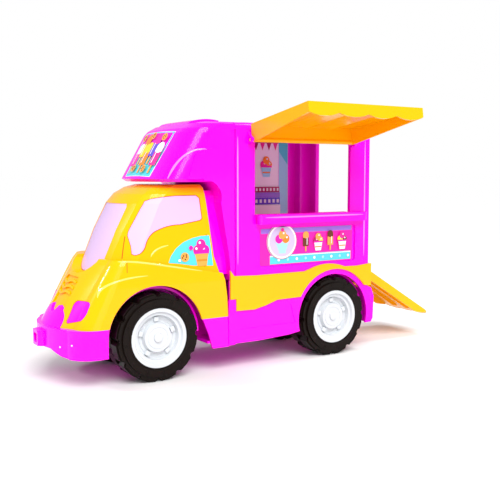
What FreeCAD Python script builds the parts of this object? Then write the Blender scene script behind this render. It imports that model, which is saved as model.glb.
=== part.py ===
"""Toy ice cream truck: a moulded plastic doll's vehicle with a fold-down awning and ramp.

Frame: +X forward, +Y to the serving side, +Z up, in millimetres.  The pieces are drawn with
the front axle at x = 0, the centre plane at y = 0 and the ground at z = 0.  The whole truck
is then placed so that the origin lies on the ground below the middle of its bounding box.
"""

import FreeCAD
import Part
import math
import os

from FreeCAD import Placement, Rotation, Vector

# --------------------------------------------------------------------------- driving sizes
SIZES = {
    "wheel_dia": 85.0,          # over the tread blocks
    "wheel_width": 34.0,
    "wheelbase": 209.0,
    "half_width": 62.0,         # centre plane to the outer face of the wheels
    "wall": 2.5,                # moulded wall
    "axle_dia": 4.0,
    "axle_play": 0.05,          # radial running clearance
    "hub_radius": 28.5,
    "body_front": -85.0,        # joint between the front shell and the serving room
    "body_rear": -257.0,
    "floor_top": 94.0,
    "roof_top": 247.0,
    "roof_round": 6.5,
    "window_front": -107.5,
    "window_rear": -230.0,
    "window_sill": 152.0,
    "window_head": 229.0,
    "door_half": 31.0,          # half width of the rear doorway
    "door_head": 238.0,
    "pin_dia": 3.0,             # moulded hinge stubs
    "awning_length": 101.0,
    "awning_half": 63.7,        # half of its width along the truck, at the hinge
    "awning_flare": 5.0,        # wider on each side at the outer edge
    "awning_angle": 8.0,        # open, above the horizontal
    "ramp_length": 134.0,
    "ramp_half": 36.0,
    "ramp_angle": 31.0,         # lowered, below the horizontal
}

doc = FreeCAD.newDocument("ice_cream_truck")
sheet = doc.addObject("Spreadsheet::Sheet", "sizes")
for row, (alias, value) in enumerate(SIZES.items(), start=1):
    sheet.set(f"A{row}", alias)
    sheet.set(f"B{row}", str(value))
    sheet.setAlias(f"B{row}", alias)
doc.recompute()

WALL = sheet.wall
AXLE_Z = sheet.wheel_dia / 2.0
SIDE = sheet.half_width - 2.0   # outer face of the room's walls and of the cab's flanks
SKIN = SIDE - WALL              # inner face of a moulded side
FRONT, REAR = sheet.body_front, sheet.body_rear
PIN = sheet.pin_dia / 2.0
nodes = []


# --------------------------------------------------------------------------- helpers
def new_body(label):
    """Start a PartDesign body that becomes one node."""
    body = doc.addObject("PartDesign::Body", label)
    body.Label = label
    nodes.append(body)
    return body


def origin_feature(body, role):
    """One of the body's own origin planes or axes."""
    return next(f for f in body.Origin.OriginFeatures if f.Role == role)


def add_sketch(body, role, offset=0.0):
    """Put a sketch on one of the body's own origin planes, moved along its normal."""
    sketch = body.newObject("Sketcher::SketchObject", f"{body.Name}_sketch")
    sketch.AttachmentSupport = [(origin_feature(body, role), "")]
    sketch.MapMode = "FlatFace"
    sketch.AttachmentOffset = Placement(Vector(0, 0, offset), Rotation())
    sketch.Visibility = False
    return sketch


def draw(sketch, path):
    """Draw a closed outline: 2-tuples are corners, 4-tuples are (via, end) of an arc."""
    ends = [Vector(p[-2], p[-1], 0) for p in path]
    for index, point in enumerate(path):
        if len(point) == 2:
            sketch.addGeometry(Part.LineSegment(ends[index - 1], ends[index]))
        else:
            via = Vector(point[0], point[1], 0)
            sketch.addGeometry(Part.Arc(ends[index - 1], via, ends[index]))


def circle(radius, u=0.0, v=0.0):
    """Path of a full circle in two arcs."""
    return [(u, v - radius, u + radius, v), (u, v + radius, u - radius, v)]


def box_path(x0, y0, x1, y1):
    """Corners of a rectangle."""
    return [(x0, y0), (x1, y0), (x1, y1), (x0, y1)]


def round_box(x0, y0, x1, y1, r):
    """Rectangle with rounded corners."""
    k = r * (1.0 - math.sqrt(0.5))
    return [
        (x1 - r, y0), (x1 - k, y0 + k, x1, y0 + r),
        (x1, y1 - r), (x1 - k, y1 - k, x1 - r, y1),
        (x0 + r, y1), (x0 + k, y1 - k, x0, y1 - r),
        (x0, y0 + r), (x0 + k, y0 + k, x0 + r, y0),
    ]


# Sketch plane, and the sign of its normal along the axis it is padded on.
ALONG = {"x": ("YZ_Plane", 1), "y": ("XZ_Plane", -1), "z": ("XY_Plane", 1)}


def extrude(body, kind, axis, path, low, high):
    """Pad or pocket an outline between two places on an axis."""
    role, sign = ALONG[axis]
    sketch = add_sketch(body, role, sign * (low + high) / 2.0)
    draw(sketch, path)
    made = body.newObject(f"PartDesign::{kind}", f"{body.Name}_{kind}")
    made.Profile = sketch
    made.Length = high - low
    made.Midplane = True
    doc.recompute()
    return made


def pad(body, axis, path, low, high):
    """Add material between two places on an axis."""
    return extrude(body, "Pad", axis, path, low, high)


def pocket(body, axis, path, low, high):
    """Take material away between two places on an axis."""
    return extrude(body, "Pocket", axis, path, low, high)


def span(side, near, far):
    """The two ends, in order, of a stretch given for the left side."""
    return sorted((side * near, side * far))


def turned(label, profile):
    """Revolve a (radius, y) profile about the Y axis."""
    body = new_body(label)
    sketch = add_sketch(body, "XY_Plane")
    draw(sketch, profile)
    made = body.newObject("PartDesign::Revolution", f"{label}_turned")
    made.Profile = sketch
    made.ReferenceAxis = (sketch, ["V_Axis"])
    made.Angle = 360.0
    doc.recompute()
    return body


# --------------------------------------------------------------------------- wheels
BLOCKS = 12                      # tread blocks round each half of a tyre
BLOCK_FLATS = 2
BEAD_FLATS = 36
GAP_DEPTH = 3.2
GAP_ANGLE = 0.085                # half of a gap, at the tread
AXLES = {"front": 0.0, "rear": -sheet.wheelbase}
HANDS = {"left": 1, "right": -1}


def tread_outline(outer, turn):
    """Closed outline of a ring of tread blocks with V-shaped gaps between them."""
    polar = []
    step = 2.0 * math.pi / BLOCKS
    for block in range(BLOCKS):
        start = turn + block * step
        polar.append((start, outer - GAP_DEPTH))
        for flat in range(BLOCK_FLATS + 1):
            polar.append((start + GAP_ANGLE + (step - 2.0 * GAP_ANGLE) * flat / BLOCK_FLATS, outer))
    return [(r * math.cos(a), r * math.sin(a)) for a, r in polar]


def ngon(radius, count):
    """Corners of a regular outline."""
    turns = [2.0 * math.pi * i / count for i in range(count)]
    return [(radius * math.cos(a), radius * math.sin(a)) for a in turns]


def tyre(label):
    """Chunky tyre: two staggered rings of tread blocks on a carcass with bevelled walls."""
    half, bead = sheet.wheel_width / 2.0, sheet.hub_radius / math.cos(math.pi / BEAD_FLATS)
    carcass = AXLE_Z - GAP_DEPTH
    body = new_body(label)
    pad(body, "y", ngon(carcass, BLOCKS * BLOCK_FLATS), -half + 2.4, half - 2.4)
    for side in HANDS.values():
        turn = 0.0 if side > 0 else math.pi / BLOCKS
        pad(body, "y", tread_outline(AXLE_Z, turn), *span(side, 0.8, half - 4.0))
        for radius, near, far in ((AXLE_Z - 1.4, half - 4.2, half - 2.2), (carcass - 2.4, half - 2.6, half)):
            pad(body, "y", tread_outline(radius, turn) if radius > carcass else ngon(radius, BEAD_FLATS),
                *span(side, near, far))
    pocket(body, "y", ngon(bead, BEAD_FLATS), -half, half)
    return body


def hub(label, outward):
    """Dished wheel centre with a stepped ring and a raised boss on its outward face."""
    half, rim, bore = sheet.wheel_width / 2.0, sheet.hub_radius, sheet.axle_dia / 2.0
    section = [
        (bore, -half + 3), (rim - 3, half - 11), (rim - 3, -half + 2), (rim, -half + 2),
        (rim, half - 0.4), (rim - 3.4, half - 0.4), (rim - 4.6, half - 3.0), (rim - 7.0, half - 3.0),
        (rim - 8.4, half - 7.5), (15.0, half - 7.5), (13.6, half - 3.2), (bore, half - 3.2),
    ]
    return turned(label, [(r, y * outward) for r, y in section])


for end, axle_x in AXLES.items():
    axle = doc.addObject("Part::Cylinder", f"axle_{end}")
    axle.Label = f"axle_{end}"
    axle.setExpression("Radius", "sizes.axle_dia / 2")
    axle.setExpression("Height", "2 * sizes.half_width - 10")
    axle.Placement = Placement(
        Vector(axle_x, sheet.half_width - 5, AXLE_Z), Rotation(Vector(1, 0, 0), 90))
    nodes.append(axle)
    for hand, side in HANDS.items():
        centre = Vector(axle_x, side * (sheet.half_width - sheet.wheel_width / 2.0), AXLE_Z)
        for piece in (tyre(f"tyre_{end}_{hand}"), hub(f"hub_{end}_{hand}", side)):
            piece.Placement = Placement(centre, Rotation())

# --------------------------------------------------------------------------- chassis
SPINE = 26.0                     # half width of the box between the wheels
PAN_Z = 30.0
FLOOR_UNDER = sheet.floor_top - 3.0
TUB_INNER, TUB_OUTER = 45.8, 48.0   # wheel houses over the tyres
TUB_SIDE = 50.0


def build_chassis():
    """Open box along the middle with the axle bearings, floor pans and wheel houses."""
    body = new_body("chassis")
    pad(body, "y", box_path(-250, PAN_Z, 46, FLOOR_UNDER), -SPINE, SPINE)
    pocket(body, "z", box_path(-250 + WALL, -SPINE + WALL, 46 - WALL, SPINE - WALL),
           PAN_Z + WALL, FLOOR_UNDER + 1)
    pad(body, "z", box_path(-154, -SKIN, -54, SKIN), PAN_Z, PAN_Z + WALL)
    for x in AXLES.values():
        for side in HANDS.values():
            pad(body, "y", [
                (x + TUB_OUTER, AXLE_Z), (x, AXLE_Z + TUB_OUTER, x - TUB_OUTER, AXLE_Z),
                (x - TUB_INNER, AXLE_Z), (x, AXLE_Z + TUB_INNER, x + TUB_INNER, AXLE_Z),
            ], *span(side, SPINE - 0.5, TUB_SIDE))
        pocket(body, "y", circle(sheet.axle_dia / 2 + sheet.axle_play, x, AXLE_Z), -40, 40)


build_chassis()

# --------------------------------------------------------------------------- lower sides
ARCH_TRIM = 52.0                 # arch of the coloured trim
ARCH_RING = 46.5                 # arch of the skirt inside it
FLAP_RING = 50.0                 # front face of the mud flap
CAB_BOTTOM = 55.5
TRIM_PROUD = 2.0
WB = -sheet.wheelbase


def arch_half(radius, z):
    """Half width at height z of an arch about an axle."""
    return math.sqrt(radius ** 2 - (z - AXLE_Z) ** 2)


def build_trim(hand, side):
    """Coloured trim between cab and tail, stepped up and arched over the rear wheel."""
    front_z, back_z = 68.0, 74.0
    body = new_body(f"lower_trim_{hand}")
    pad(body, "y", [
        (-78, 72.3), (-84.8, 72.3), (-84.8, 60.4), (-106, 60), (-120, 63), (-134, 67.5),
        (WB + arch_half(ARCH_TRIM, front_z), front_z),
        (WB, AXLE_Z + ARCH_TRIM, WB - arch_half(ARCH_TRIM, back_z), back_z),
        (REAR, 73), (REAR, 97.5), (-240, 96), (-222, 96.5), (-205, 100.5, -180, 98),
        (-169, 94.5), (-108, 94.4), (-82, 95.5), (-78, 101),
    ], *span(side, SIDE, SIDE + TRIM_PROUD))


def build_skirt(hand, side):
    """Side skirt with its step, the rear arch ring and the mud flap behind the wheel."""
    foot = 31.0
    ring = arch_half(ARCH_RING, foot)
    body = new_body(f"side_skirt_{hand}")
    pad(body, "y", [
        (-47.5, CAB_BOTTOM), (-54, 40), (-58.5, 25), (-77, 25), (-80, 27), (-114, 27), (-150, 29),
        (WB + ring, foot), (WB, AXLE_Z + ARCH_RING, WB - ring, foot), (-262, foot), (-265, foot + 4),
        (-266, 60), (-262, 70), (REAR, 72), (REAR, FLOOR_UNDER), (-78, FLOOR_UNDER), (-78, CAB_BOTTOM),
    ], *span(side, SKIN, SIDE))
    top = 70.0
    pad(body, "y", [
        (-262, top), (-266, 60), (-265, foot + 4), (-262, foot), (WB - arch_half(FLAP_RING, foot), foot),
        (WB - FLAP_RING, AXLE_Z, WB - arch_half(FLAP_RING, top), top),
    ], *span(side, SPINE + 4, SIDE))
    pad(body, "y", round_box(-84.5, 26.2, -76.4, 72, 2), *span(side, SIDE - 1, SIDE + 1.2))
    pocket(body, "y", [(-90, 41), (-90, 56), (-118, 56.5), (-140, 61), (-152, 62), (-158, 41)],
           *span(side, SIDE - 0.8, SIDE + 1))


for hand, side in HANDS.items():
    build_trim(hand, side)
    build_skirt(hand, side)

# --------------------------------------------------------------------------- bumper
BUMPER_FRONT = 99.0
BUMPER_FOOT = 28.5


def nose_plan(side_x, corner, front, y, rear):
    """Plan outline of the nose: flanks, rounded corners and a gently bowed front."""
    mid_x, mid_y = corner[0] - 7.5, y - 6.0
    return [
        (rear, -y), (side_x, -y), (mid_x, -mid_y, corner[0], -corner[1]),
        (front, 0, corner[0], corner[1]), (mid_x, mid_y, side_x, y), (rear, y),
    ]


def build_bumper():
    """Wrap-round bumper, lower at its corners, with a square knob in the middle."""
    body = new_body("bumper")
    pad(body, "z", nose_plan(60, (82, 41), 94, SIDE, 50), BUMPER_FOOT, CAB_BOTTOM)
    pocket(body, "z", nose_plan(59, (79.5, 39), 91, SKIN, 40), BUMPER_FOOT - 1, CAB_BOTTOM - WALL)
    pocket(body, "x", [(-44, 20), (44, 20), (44, BUMPER_FOOT), (34, 30.5), (20, 36), (-20, 36),
                       (-34, 30.5), (-44, BUMPER_FOOT)], 66, 120)
    pad(body, "z", [(88, -10), (95, -10), (BUMPER_FRONT, -7), (BUMPER_FRONT, 7), (95, 10), (88, 10)],
        36.5, 51)
    pocket(body, "x", round_box(-4.5, 39.5, 4.5, 48, 1.5), BUMPER_FRONT - 3, BUMPER_FRONT + 1)


build_bumper()

# --------------------------------------------------------------------------- cab
# Plan outlines of the cab from the bumper up: height, half width, start of the corner,
# front of the corner (x, y), front centre and rear edge.
LOWER_RINGS = [
    (55.5, 60.0, 57, (76.5, 40), 89, -76),
    (76.0, 60.0, 49, (66.0, 40), 76, -75),
    (92.0, 59.6, 42, (57.0, 41), 66.5, -73),
    (104.0, 58.6, 37, (50.0, 42), 58.5, -69),
    (112.0, 57.8, 33, (45.0, 43), 53.5, -67),
    (117.0, 56.6, 29, (41.0, 42), 50, -66),
]
UPPER_RINGS = [
    (92.0, 56.5, 27, (48.0, 34.5), 55.2, -71),
    (116.0, 54.4, 18, (37.1, 35), 44.3, -63),
    (142.0, 51.5, 5, (25.3, 37), 33.4, -60.5),
    (168.0, 48.6, -8, (10.9, 38), 19.4, -58),
    (177.0, 47.2, -15, (3, 37), 11.5, -57),
    (183.0, 44.6, -21, (-7, 34), -0.5, -56.5),
    (186.0, 40.0, -28, (-18, 30), -12, -56),
]
ROUND, BLUNT = (0.67, 0.71), (0.52, 0.55)   # how far a front corner's middle bulges
SHOULDER = [                      # side view of what is cut away above the flanks' crease
    (110, 117.2), (20, 117.2), (10.5, 115.0), (-15, 110.3), (-42, 104.8), (-110, 91.6),
    (-110, 130), (110, 130),
]
HOOD_DIP = [                      # front view of the hollow below the windscreen
    (-28.5, 130), (-28.5, 114), (-25.5, 110.6), (-14, 104.4, 0, 102.6), (14, 104.4, 25.5, 110.6),
    (28.5, 114), (28.5, 130),
]
ARCH_CAB = 49.5
WINDSCREEN = [                    # front view, y and z
    (-27.0, 114), (-24.5, 111.5), (-14, 105.2, 0, 103.4), (14, 105.2, 24.5, 111.5), (27.0, 114),
    (28.0, 137.5), (27.4, 165), (25.5, 168), (-25.5, 168), (-27.4, 165), (-28.0, 137.5),
]
SIDE_WINDOW = [                   # side view, x and z
    (-1, 172.8), (-14.4, 175, -30.3, 175.9), (-47.7, 176), (-51.2, 173), (-52.8, 153), (-50.5, 151),
    (-28.1, 147.5), (-10.4, 145.2, -0.7, 141.5), (4.9, 136.5, 8.5, 129.5), (13.0, 123.2, 19.4, 120.6),
    (21.6, 121.6), (21.1, 129), (22.2, 139), (21.0, 143), (8.9, 163.5), (4.2, 170.8),
]
SEAM = 0.5                        # depth of the grooves round doors and inlays
HEADLIGHT = [                     # front view of the left one, y and z
    (28.2, 73), (28.8, 78.6, 31.5, 80.3), (44.5, 80.5), (48.2, 79.2, 49.5, 74), (49.0, 67, 46.5, 63.3),
    (34, 60), (30.2, 60.6, 29.6, 64),
]
CROWN = [                         # front view of the two-toothed crown above the bumper
    (-26.2, 61.5, -26.5, CAB_BOTTOM), (26.5, CAB_BOTTOM), (26.2, 61.5, 23.5, 66.5), (17.5, 70.6, 11, 73.2),
    (9.3, 73.6, 7.8, 72.4), (3.6, 68.2, 0, 66.8), (-3.6, 68.2, -7.8, 72.4), (-9.3, 73.6, -11, 73.2),
    (-17.5, 70.6, -23.5, 66.5),
]
CROWN_PROUD = 1.2
PANEL_SUNK = 1.8
WAVES_Z = (83.5, 88.5, 93.5)
NOSE_OPENING = [
    (-18.5, 58), (18.5, 58), (18.5, 72), (17, 96), (13.5, 99.4), (-13.5, 99.4), (-17, 96), (-18.5, 72),
]


def shell_ring(ring, bulge, inset, reach):
    """Outline of one level, moved inward by the wall, its rear edge moved back by reach."""
    _, y, corner_x, (front_x, front_y), centre, rear = ring
    y, corner_x, centre = y - inset, corner_x - inset * 0.4, centre - inset
    front_x, front_y = front_x - inset, front_y - inset * 0.4
    mid_x = corner_x + (front_x - corner_x) * bulge[0]
    mid_y = front_y + (y - front_y) * bulge[1]
    back = rear - reach
    return [
        (back, -y), (corner_x, -y), (mid_x, -mid_y, front_x, -front_y),
        (centre, 0, front_x, front_y), (mid_x, mid_y, corner_x, y), (back, y),
    ]


def shell_loft(body, kind, rings, bulge, inset=0.0, reach=0.0, foot=0.0):
    """Loft a moulded shell, or its hollow, through plan outlines from the lowest up."""
    sketches = []
    last = len(rings) - 1
    for index, ring in enumerate(rings):
        drop = inset * (1.0 if index >= last - 1 else 0.5)
        sketch = add_sketch(body, "XY_Plane", ring[0] - (drop if index else foot))
        draw(sketch, shell_ring(ring, bulge, inset, reach))
        sketches.append(sketch)
    made = body.newObject(f"PartDesign::{kind}", f"{body.Name}_{kind}")
    made.Profile = sketches[0]
    made.Sections = sketches[1:]
    made.Ruled = True
    doc.recompute()


def mirrored(path):
    """The same outline on the other side of the centre plane."""
    flipped = [tuple(-v if i % 2 == 0 else v for i, v in enumerate(p)) for p in path]
    count = len(path)
    return [flipped[(i + 1) % count][:-2] + flipped[i][-2:] for i in range(count - 1, -1, -1)]


def outline_face(path, place):
    """Planar face from a path, moved by a function from two numbers to a Vector."""
    edges = []
    for index, point in enumerate(path):
        start, end = place(*path[index - 1][-2:]), place(*point[-2:])
        if len(point) == 2:
            edges.append(Part.makeLine(start, end))
        else:
            edges.append(Part.Arc(start, place(*point[:2]), end).toShape())
    return Part.Face(Part.Wire(edges))


def from_front(x):
    """Place a front-view outline at a distance along X."""
    return lambda y, z: Vector(x, y, z)


def from_side(x, z):
    """Place a side-view outline on the centre plane."""
    return Vector(x, 0, z)


def prism(path, place, along):
    """Solid swept from an outline."""
    return outline_face(path, place).extrude(along)


def add_inlay(label, shape, sink):
    """Node that fills an opening, pushed in along a vector."""
    node = doc.addObject("Part::Feature", label)
    node.Label = label
    moved = shape.copy()
    moved.translate(sink)
    node.Shape = moved
    nodes.append(node)


def wave(z, rise, thick, half):
    """Front view of a wavy bar."""
    return [
        (-half, z), (-half / 2, z - rise, 0, z), (half / 2, z + rise, half, z),
        (half, z + thick), (half / 2, z + rise + thick, 0, z + thick),
        (-half / 2, z - rise + thick, -half, z + thick),
    ]


def build_nose(shell):
    """Sunk nose panel with wavy bars, and the two-toothed crown that stands proud below it."""
    forward = Vector(60, 0, 0)
    panel = shell.common(prism(NOSE_OPENING, from_front(50), forward))
    panel.translate(Vector(-PANEL_SUNK, 0, 0))
    for z in WAVES_Z:
        bar = prism(wave(z, 1.2, 1.8, 14.5), from_front(50), forward)
        panel = panel.fuse(shell.common(bar))
    crown = prism(CROWN, from_front(50), forward)
    add_inlay("nose_peak", shell.common(crown), Vector(CROWN_PROUD, 0, 0))
    add_inlay("nose_grille", panel.cut(crown).removeSplitter(), Vector(0, 0, 0))


def build_cab():
    """Hollow cab with its shoulder, wheel arches and openings, and the pieces that close them."""
    cab = new_body("cab_shell")
    shell_loft(cab, "AdditiveLoft", LOWER_RINGS, ROUND)
    pocket(cab, "y", SHOULDER, -2 * SIDE, 2 * SIDE)
    pocket(cab, "x", HOOD_DIP, 20, 110)
    shell_loft(cab, "AdditiveLoft", UPPER_RINGS, BLUNT)
    shell_loft(cab, "SubtractiveLoft", LOWER_RINGS[:3], ROUND, WALL, 12.0, 6.0)
    shell_loft(cab, "SubtractiveLoft", UPPER_RINGS, BLUNT, WALL, 12.0, 6.0)
    pocket(cab, "y", circle(ARCH_CAB, 1, AXLE_Z), -2 * SIDE, 2 * SIDE)
    shell = cab.Tip.Shape.copy()
    pocket(cab, "x", WINDSCREEN, 0, 100)
    pocket(cab, "y", SIDE_WINDOW, -2 * SIDE, 2 * SIDE)
    pocket(cab, "x", NOSE_OPENING, 46, 110)
    pocket(cab, "x", CROWN, 50, 110)
    screen = shell.common(prism(WINDSCREEN, from_front(0), Vector(100, 0, 0)))
    add_inlay("windshield", screen, Vector(-SEAM, 0, 0))
    for hand, side in HANDS.items():
        lamp = HEADLIGHT if side > 0 else mirrored(HEADLIGHT)
        pocket(cab, "x", lamp, 44, 110)
        light = shell.common(prism(lamp, from_front(44), Vector(60, 0, 0)))
        add_inlay(f"headlight_{hand}", light, Vector(-SEAM, 0, 0))
        pane = shell.common(prism(SIDE_WINDOW, from_side, Vector(0, side * 80, 0)))
        add_inlay(f"side_window_{hand}", pane, Vector(0, -side * SEAM, 0))
    build_nose(shell)


build_cab()

# --------------------------------------------------------------------------- serving room
SIDE_WALL = 4.0
ROOM = SIDE - SIDE_WALL          # inner face of the room's side walls
ROOF_EDGE = sheet.roof_top - 11.0


# Over-cab, in the same terms as the cab's rings.
OVERCAB_RINGS = [
    (188.6, 57.0, -36, (-11, 35), -8.5, FRONT),
    (191.5, 60.0, -33, (-7, 37), -4, FRONT),
    (236.0, 60.0, -58, (-33, 36), -30, FRONT),
    (240.5, 60.0, -61, (-37.5, 35), -34.5, FRONT),
    (245.1, 58.1, -67, (-46, 33), -43, FRONT),
    (247.0, 53.5, -72, (-55, 29), -52, FRONT),
]


def build_front_shell():
    """Column behind the cab and the over-cab, hollow, with a collar that the cab sits on."""
    body = new_body("cargo_front")
    pad(body, "y", [
        (FRONT, FLOOR_UNDER), (-80, FLOOR_UNDER), (-77.5, 116), (-68.5, 168), (-63.5, 186, -50, 190),
        (-50, 196), (FRONT, 196),
    ], -SIDE, SIDE)
    shell_loft(body, "AdditiveLoft", OVERCAB_RINGS, ROUND)
    pocket(body, "y", [
        (FRONT - 5, sheet.floor_top), (-82.2, sheet.floor_top), (-80, 116), (-71, 168), (-66.5, 184),
        (-62, 187.5), (FRONT - 5, 187.5),
    ], -ROOM, ROOM)
    shell_loft(body, "SubtractiveLoft", OVERCAB_RINGS, ROUND, WALL, 5.0, -3.4)
    for kind, inset, low in ((pad, 0.0, -79), (pocket, 2.0, -60)):
        kind(body, "x", [
            (inset - 52.5, 97 + inset), (52.5 - inset, 97 + inset), (51.5 - inset, 114), (45.6 - inset, 166),
            (44.0 - inset, 175.5), (41.5 - inset, 180 - inset), (inset - 41.5, 180 - inset),
            (inset - 44.0, 175.5), (inset - 45.6, 166), (inset - 51.5, 114),
        ], low, -53)
    top = sheet.roof_top
    pad(body, "y", [(-82, top - 1), (-46, top - 2), (-50, top + 0.6), (-62, top + 3.2, -78, top + 3.2),
                    (-82, top + 2.6)], -32, 32)
    for side in HANDS.values():
        pad(body, "y", [(-60, 220.8), (-47, 220, -38.6, 212), (-33.2, 193.6), (-34.8, 193.2),
                        (-40.1, 211.2), (-48, 218.4, -60, 219.2)], *span(side, SIDE - 1, SIDE + 0.6))
        pocket(body, "z", [(FRONT - 1, side * (SIDE + 1)), (FRONT - 1, side * (SIDE - 2.4)),
                           (FRONT + 2.4, side * (SIDE + 1))], FLOOR_UNDER - 1, ROOF_EDGE + 4)


def build_side_wall(hand, side):
    """Wall of the room; the serving side has the window and a recessed panel below it."""
    body = new_body(f"cargo_side_{hand}")
    pad(body, "y", box_path(REAR, FLOOR_UNDER, FRONT, ROOF_EDGE), *span(side, ROOM, SIDE))
    if side > 0:
        rear, front, head = sheet.window_rear, sheet.window_front, sheet.window_head
        pocket(body, "y", [
            (rear, sheet.window_sill), (front, sheet.window_sill), (front, head - 3),
            (front - 0.9, head - 0.9, front - 3, head), (rear + 3, head),
            (rear + 0.9, head - 0.9, rear, head - 3),
        ], ROOM - 5, SIDE + 5)
        pocket(body, "y", round_box(-238, 102, -112, 142, 3), SIDE - 1.6, SIDE + 1)
    else:
        pocket(body, "y", round_box(-244, 104, -98, 228, 6), -SIDE - 1, -SIDE + 1)


def build_floor():
    """Floor of the serving room, on the chassis and the skirts."""
    plate = new_body("cargo_floor")
    pad(plate, "z", box_path(REAR + WALL, -ROOM, FRONT, ROOM), FLOOR_UNDER, sheet.floor_top)


def build_rear_wall():
    """Rear wall with the open doorway and a raised frame round it."""
    body = new_body("cargo_rear")
    top = sheet.roof_top - WALL
    pad(body, "x", [(-ROOM, FLOOR_UNDER), (ROOM, FLOOR_UNDER), (ROOM, ROOF_EDGE + 4.5), (52.5, top),
                    (-52.5, top), (-ROOM, ROOF_EDGE + 4.5)], REAR, REAR + WALL)
    half, head = sheet.door_half, sheet.door_head
    pad(body, "x", round_box(-half - 5, FLOOR_UNDER + 3.5, half + 5, head + 4, 3), REAR, REAR + 5)
    for side in HANDS.values():
        low, high = span(side, ROOM - 11, ROOM)
        pad(body, "x", box_path(low, sheet.floor_top, high, ROOF_EDGE), REAR, REAR + 18)
    pocket(body, "x", [(-half, 80), (half, 80), (half, head - 4), (half - 1.2, head - 1.2, half - 4, head),
                       (4 - half, head), (1.2 - half, head - 1.2, -half, head - 4)], REAR - 5, REAR + 20)


def roof_line(y, top, round_r, low):
    """Right to left over the roof: an eave, a rounded shoulder, the flat and back down."""
    k = round_r * (1.0 - math.sqrt(0.5))
    return [
        (y, low), (y, top - round_r), (y - k, top - k, y - round_r, top),
        (round_r - y, top), (k - y, top - k, -y, top - round_r), (-y, low),
    ]


def build_roof():
    """Roof with rounded shoulders and a shallow raised panel."""
    body = new_body("cargo_roof")
    top, radius = sheet.roof_top, sheet.roof_round
    outer = roof_line(SIDE, top, radius, ROOF_EDGE)
    inner = roof_line(SKIN, top - WALL, radius - WALL, ROOF_EDGE)
    back = [inner[-1]]
    for index in range(len(inner) - 2, -1, -1):
        back.append(inner[index + 1][:-2] + inner[index][-2:])
    pad(body, "x", outer + back, REAR, FRONT)
    pad(body, "z", round_box(-245, -44, -98, 44, 8), top - 0.5, top + 1.0)


def build_counter():
    """Counter through the window: a slab inside, a rounded shelf and a lip outside."""
    body = new_body("counter")
    top = 155.5
    pad(body, "z", box_path(sheet.window_rear + 0.3, 49, sheet.window_front - 0.3, SIDE + 0.5),
        sheet.window_sill, top)
    pad(body, "z", round_box(-248, SIDE, -108, 69, 4), 146, top)
    pocket(body, "z", round_box(-246, SIDE - 4, -110, 67, 2.5), top - 2.0, top + 1)


for hand, side in HANDS.items():
    build_side_wall(hand, side)
build_front_shell()
build_floor()
build_rear_wall()
build_roof()
build_counter()

# --------------------------------------------------------------------------- rear trim
RAMP_PIVOT = (-263.0, 94.0)
EAR_GAP = 0.5


def build_rear_trim():
    """Coloured sill across the tail with the two ears that carry the ramp."""
    body = new_body("rear_trim")
    edge = SIDE + TRIM_PROUD
    half = sheet.door_half
    pad(body, "x", [(-edge, 73), (edge, 73), (edge, 97.5), (half, 97.5), (half, sheet.floor_top),
                    (-half, sheet.floor_top), (-half, 97.5), (-edge, 97.5)], REAR - 3, REAR)
    inside = sheet.ramp_half + EAR_GAP
    for side in HANDS.values():
        x, z = RAMP_PIVOT
        pad(body, "y", [(REAR - 2, z - 6), (REAR - 2, z + 3.4), (x, z + 3.4), (x - 3.4, z, x, z - 3.4)],
            *span(side, inside, inside + 3))
    pocket(body, "y", circle(PIN + 0.05, *RAMP_PIVOT), -inside - 8, inside + 8)


build_rear_trim()

# --------------------------------------------------------------------------- awning
AWNING_PIVOT = (63.8, 229.8)
AWNING_X = -166.3                # middle of its width
AWNING_HEEL = (0.2, -14.5)       # the pivot, seen from the top of the awning's back
SHEET_TOP, SHEET_LOW, FLUTE_HIGH = 1.6, -1.6, 0.4
VALANCE_CUSP, VALANCE_LOW = -7.5, -10.8
CHEEK_LOW = -8.0                 # the cheeks' lower edge at the valance
FLUTES = 4
HINGE_BAR = 2.3                  # radius of the bar that stiffens the hinge edge
EAR = 3.0


def build_awning_rail():
    """Strip over the window with the two ears that carry the awning."""
    body = new_body("awning_rail")
    y, z = AWNING_PIVOT
    reach = sheet.awning_half + EAR_GAP
    pad(body, "x", box_path(SIDE, 229.6, SIDE + 1.0, 236), AWNING_X - reach - EAR, AWNING_X + reach + EAR)
    for side in HANDS.values():
        low, high = span(side, reach, reach + EAR)
        pad(body, "x", [(SIDE, 225), (y, z - 3.3), (y + 3.3, z, y, z + 3.3), (SIDE, 238)],
            AWNING_X + low, AWNING_X + high)
    pocket(body, "x", circle(PIN + 0.05, y, z), AWNING_X - reach - 8, AWNING_X + reach + 8)


def flutes(low, high):
    """Fluted line from one side of the awning to the other, arched between two heights."""
    half = sheet.awning_half + sheet.awning_flare
    pitch = 2.0 * half / FLUTES
    starts = [-half + index * pitch for index in range(FLUTES)]
    return [(x + pitch / 2, high, x + pitch, low) for x in starts]


def back_again(path, start):
    """The same line run the other way, from its end to start."""
    points = [start] + [p[-2:] for p in path]
    return [path[i][:-2] + points[i] for i in range(len(path) - 1, -1, -1)]


def awning_sheet(body, top, low, arch, near, far):
    """Plate across the awning, straight above and lobed below."""
    half = sheet.awning_half + sheet.awning_flare
    lobes = back_again(flutes(low, arch), (-half, low))
    pad(body, "y", [(-half, top), (half, top), (half, low)] + lobes, near, far)


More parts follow.
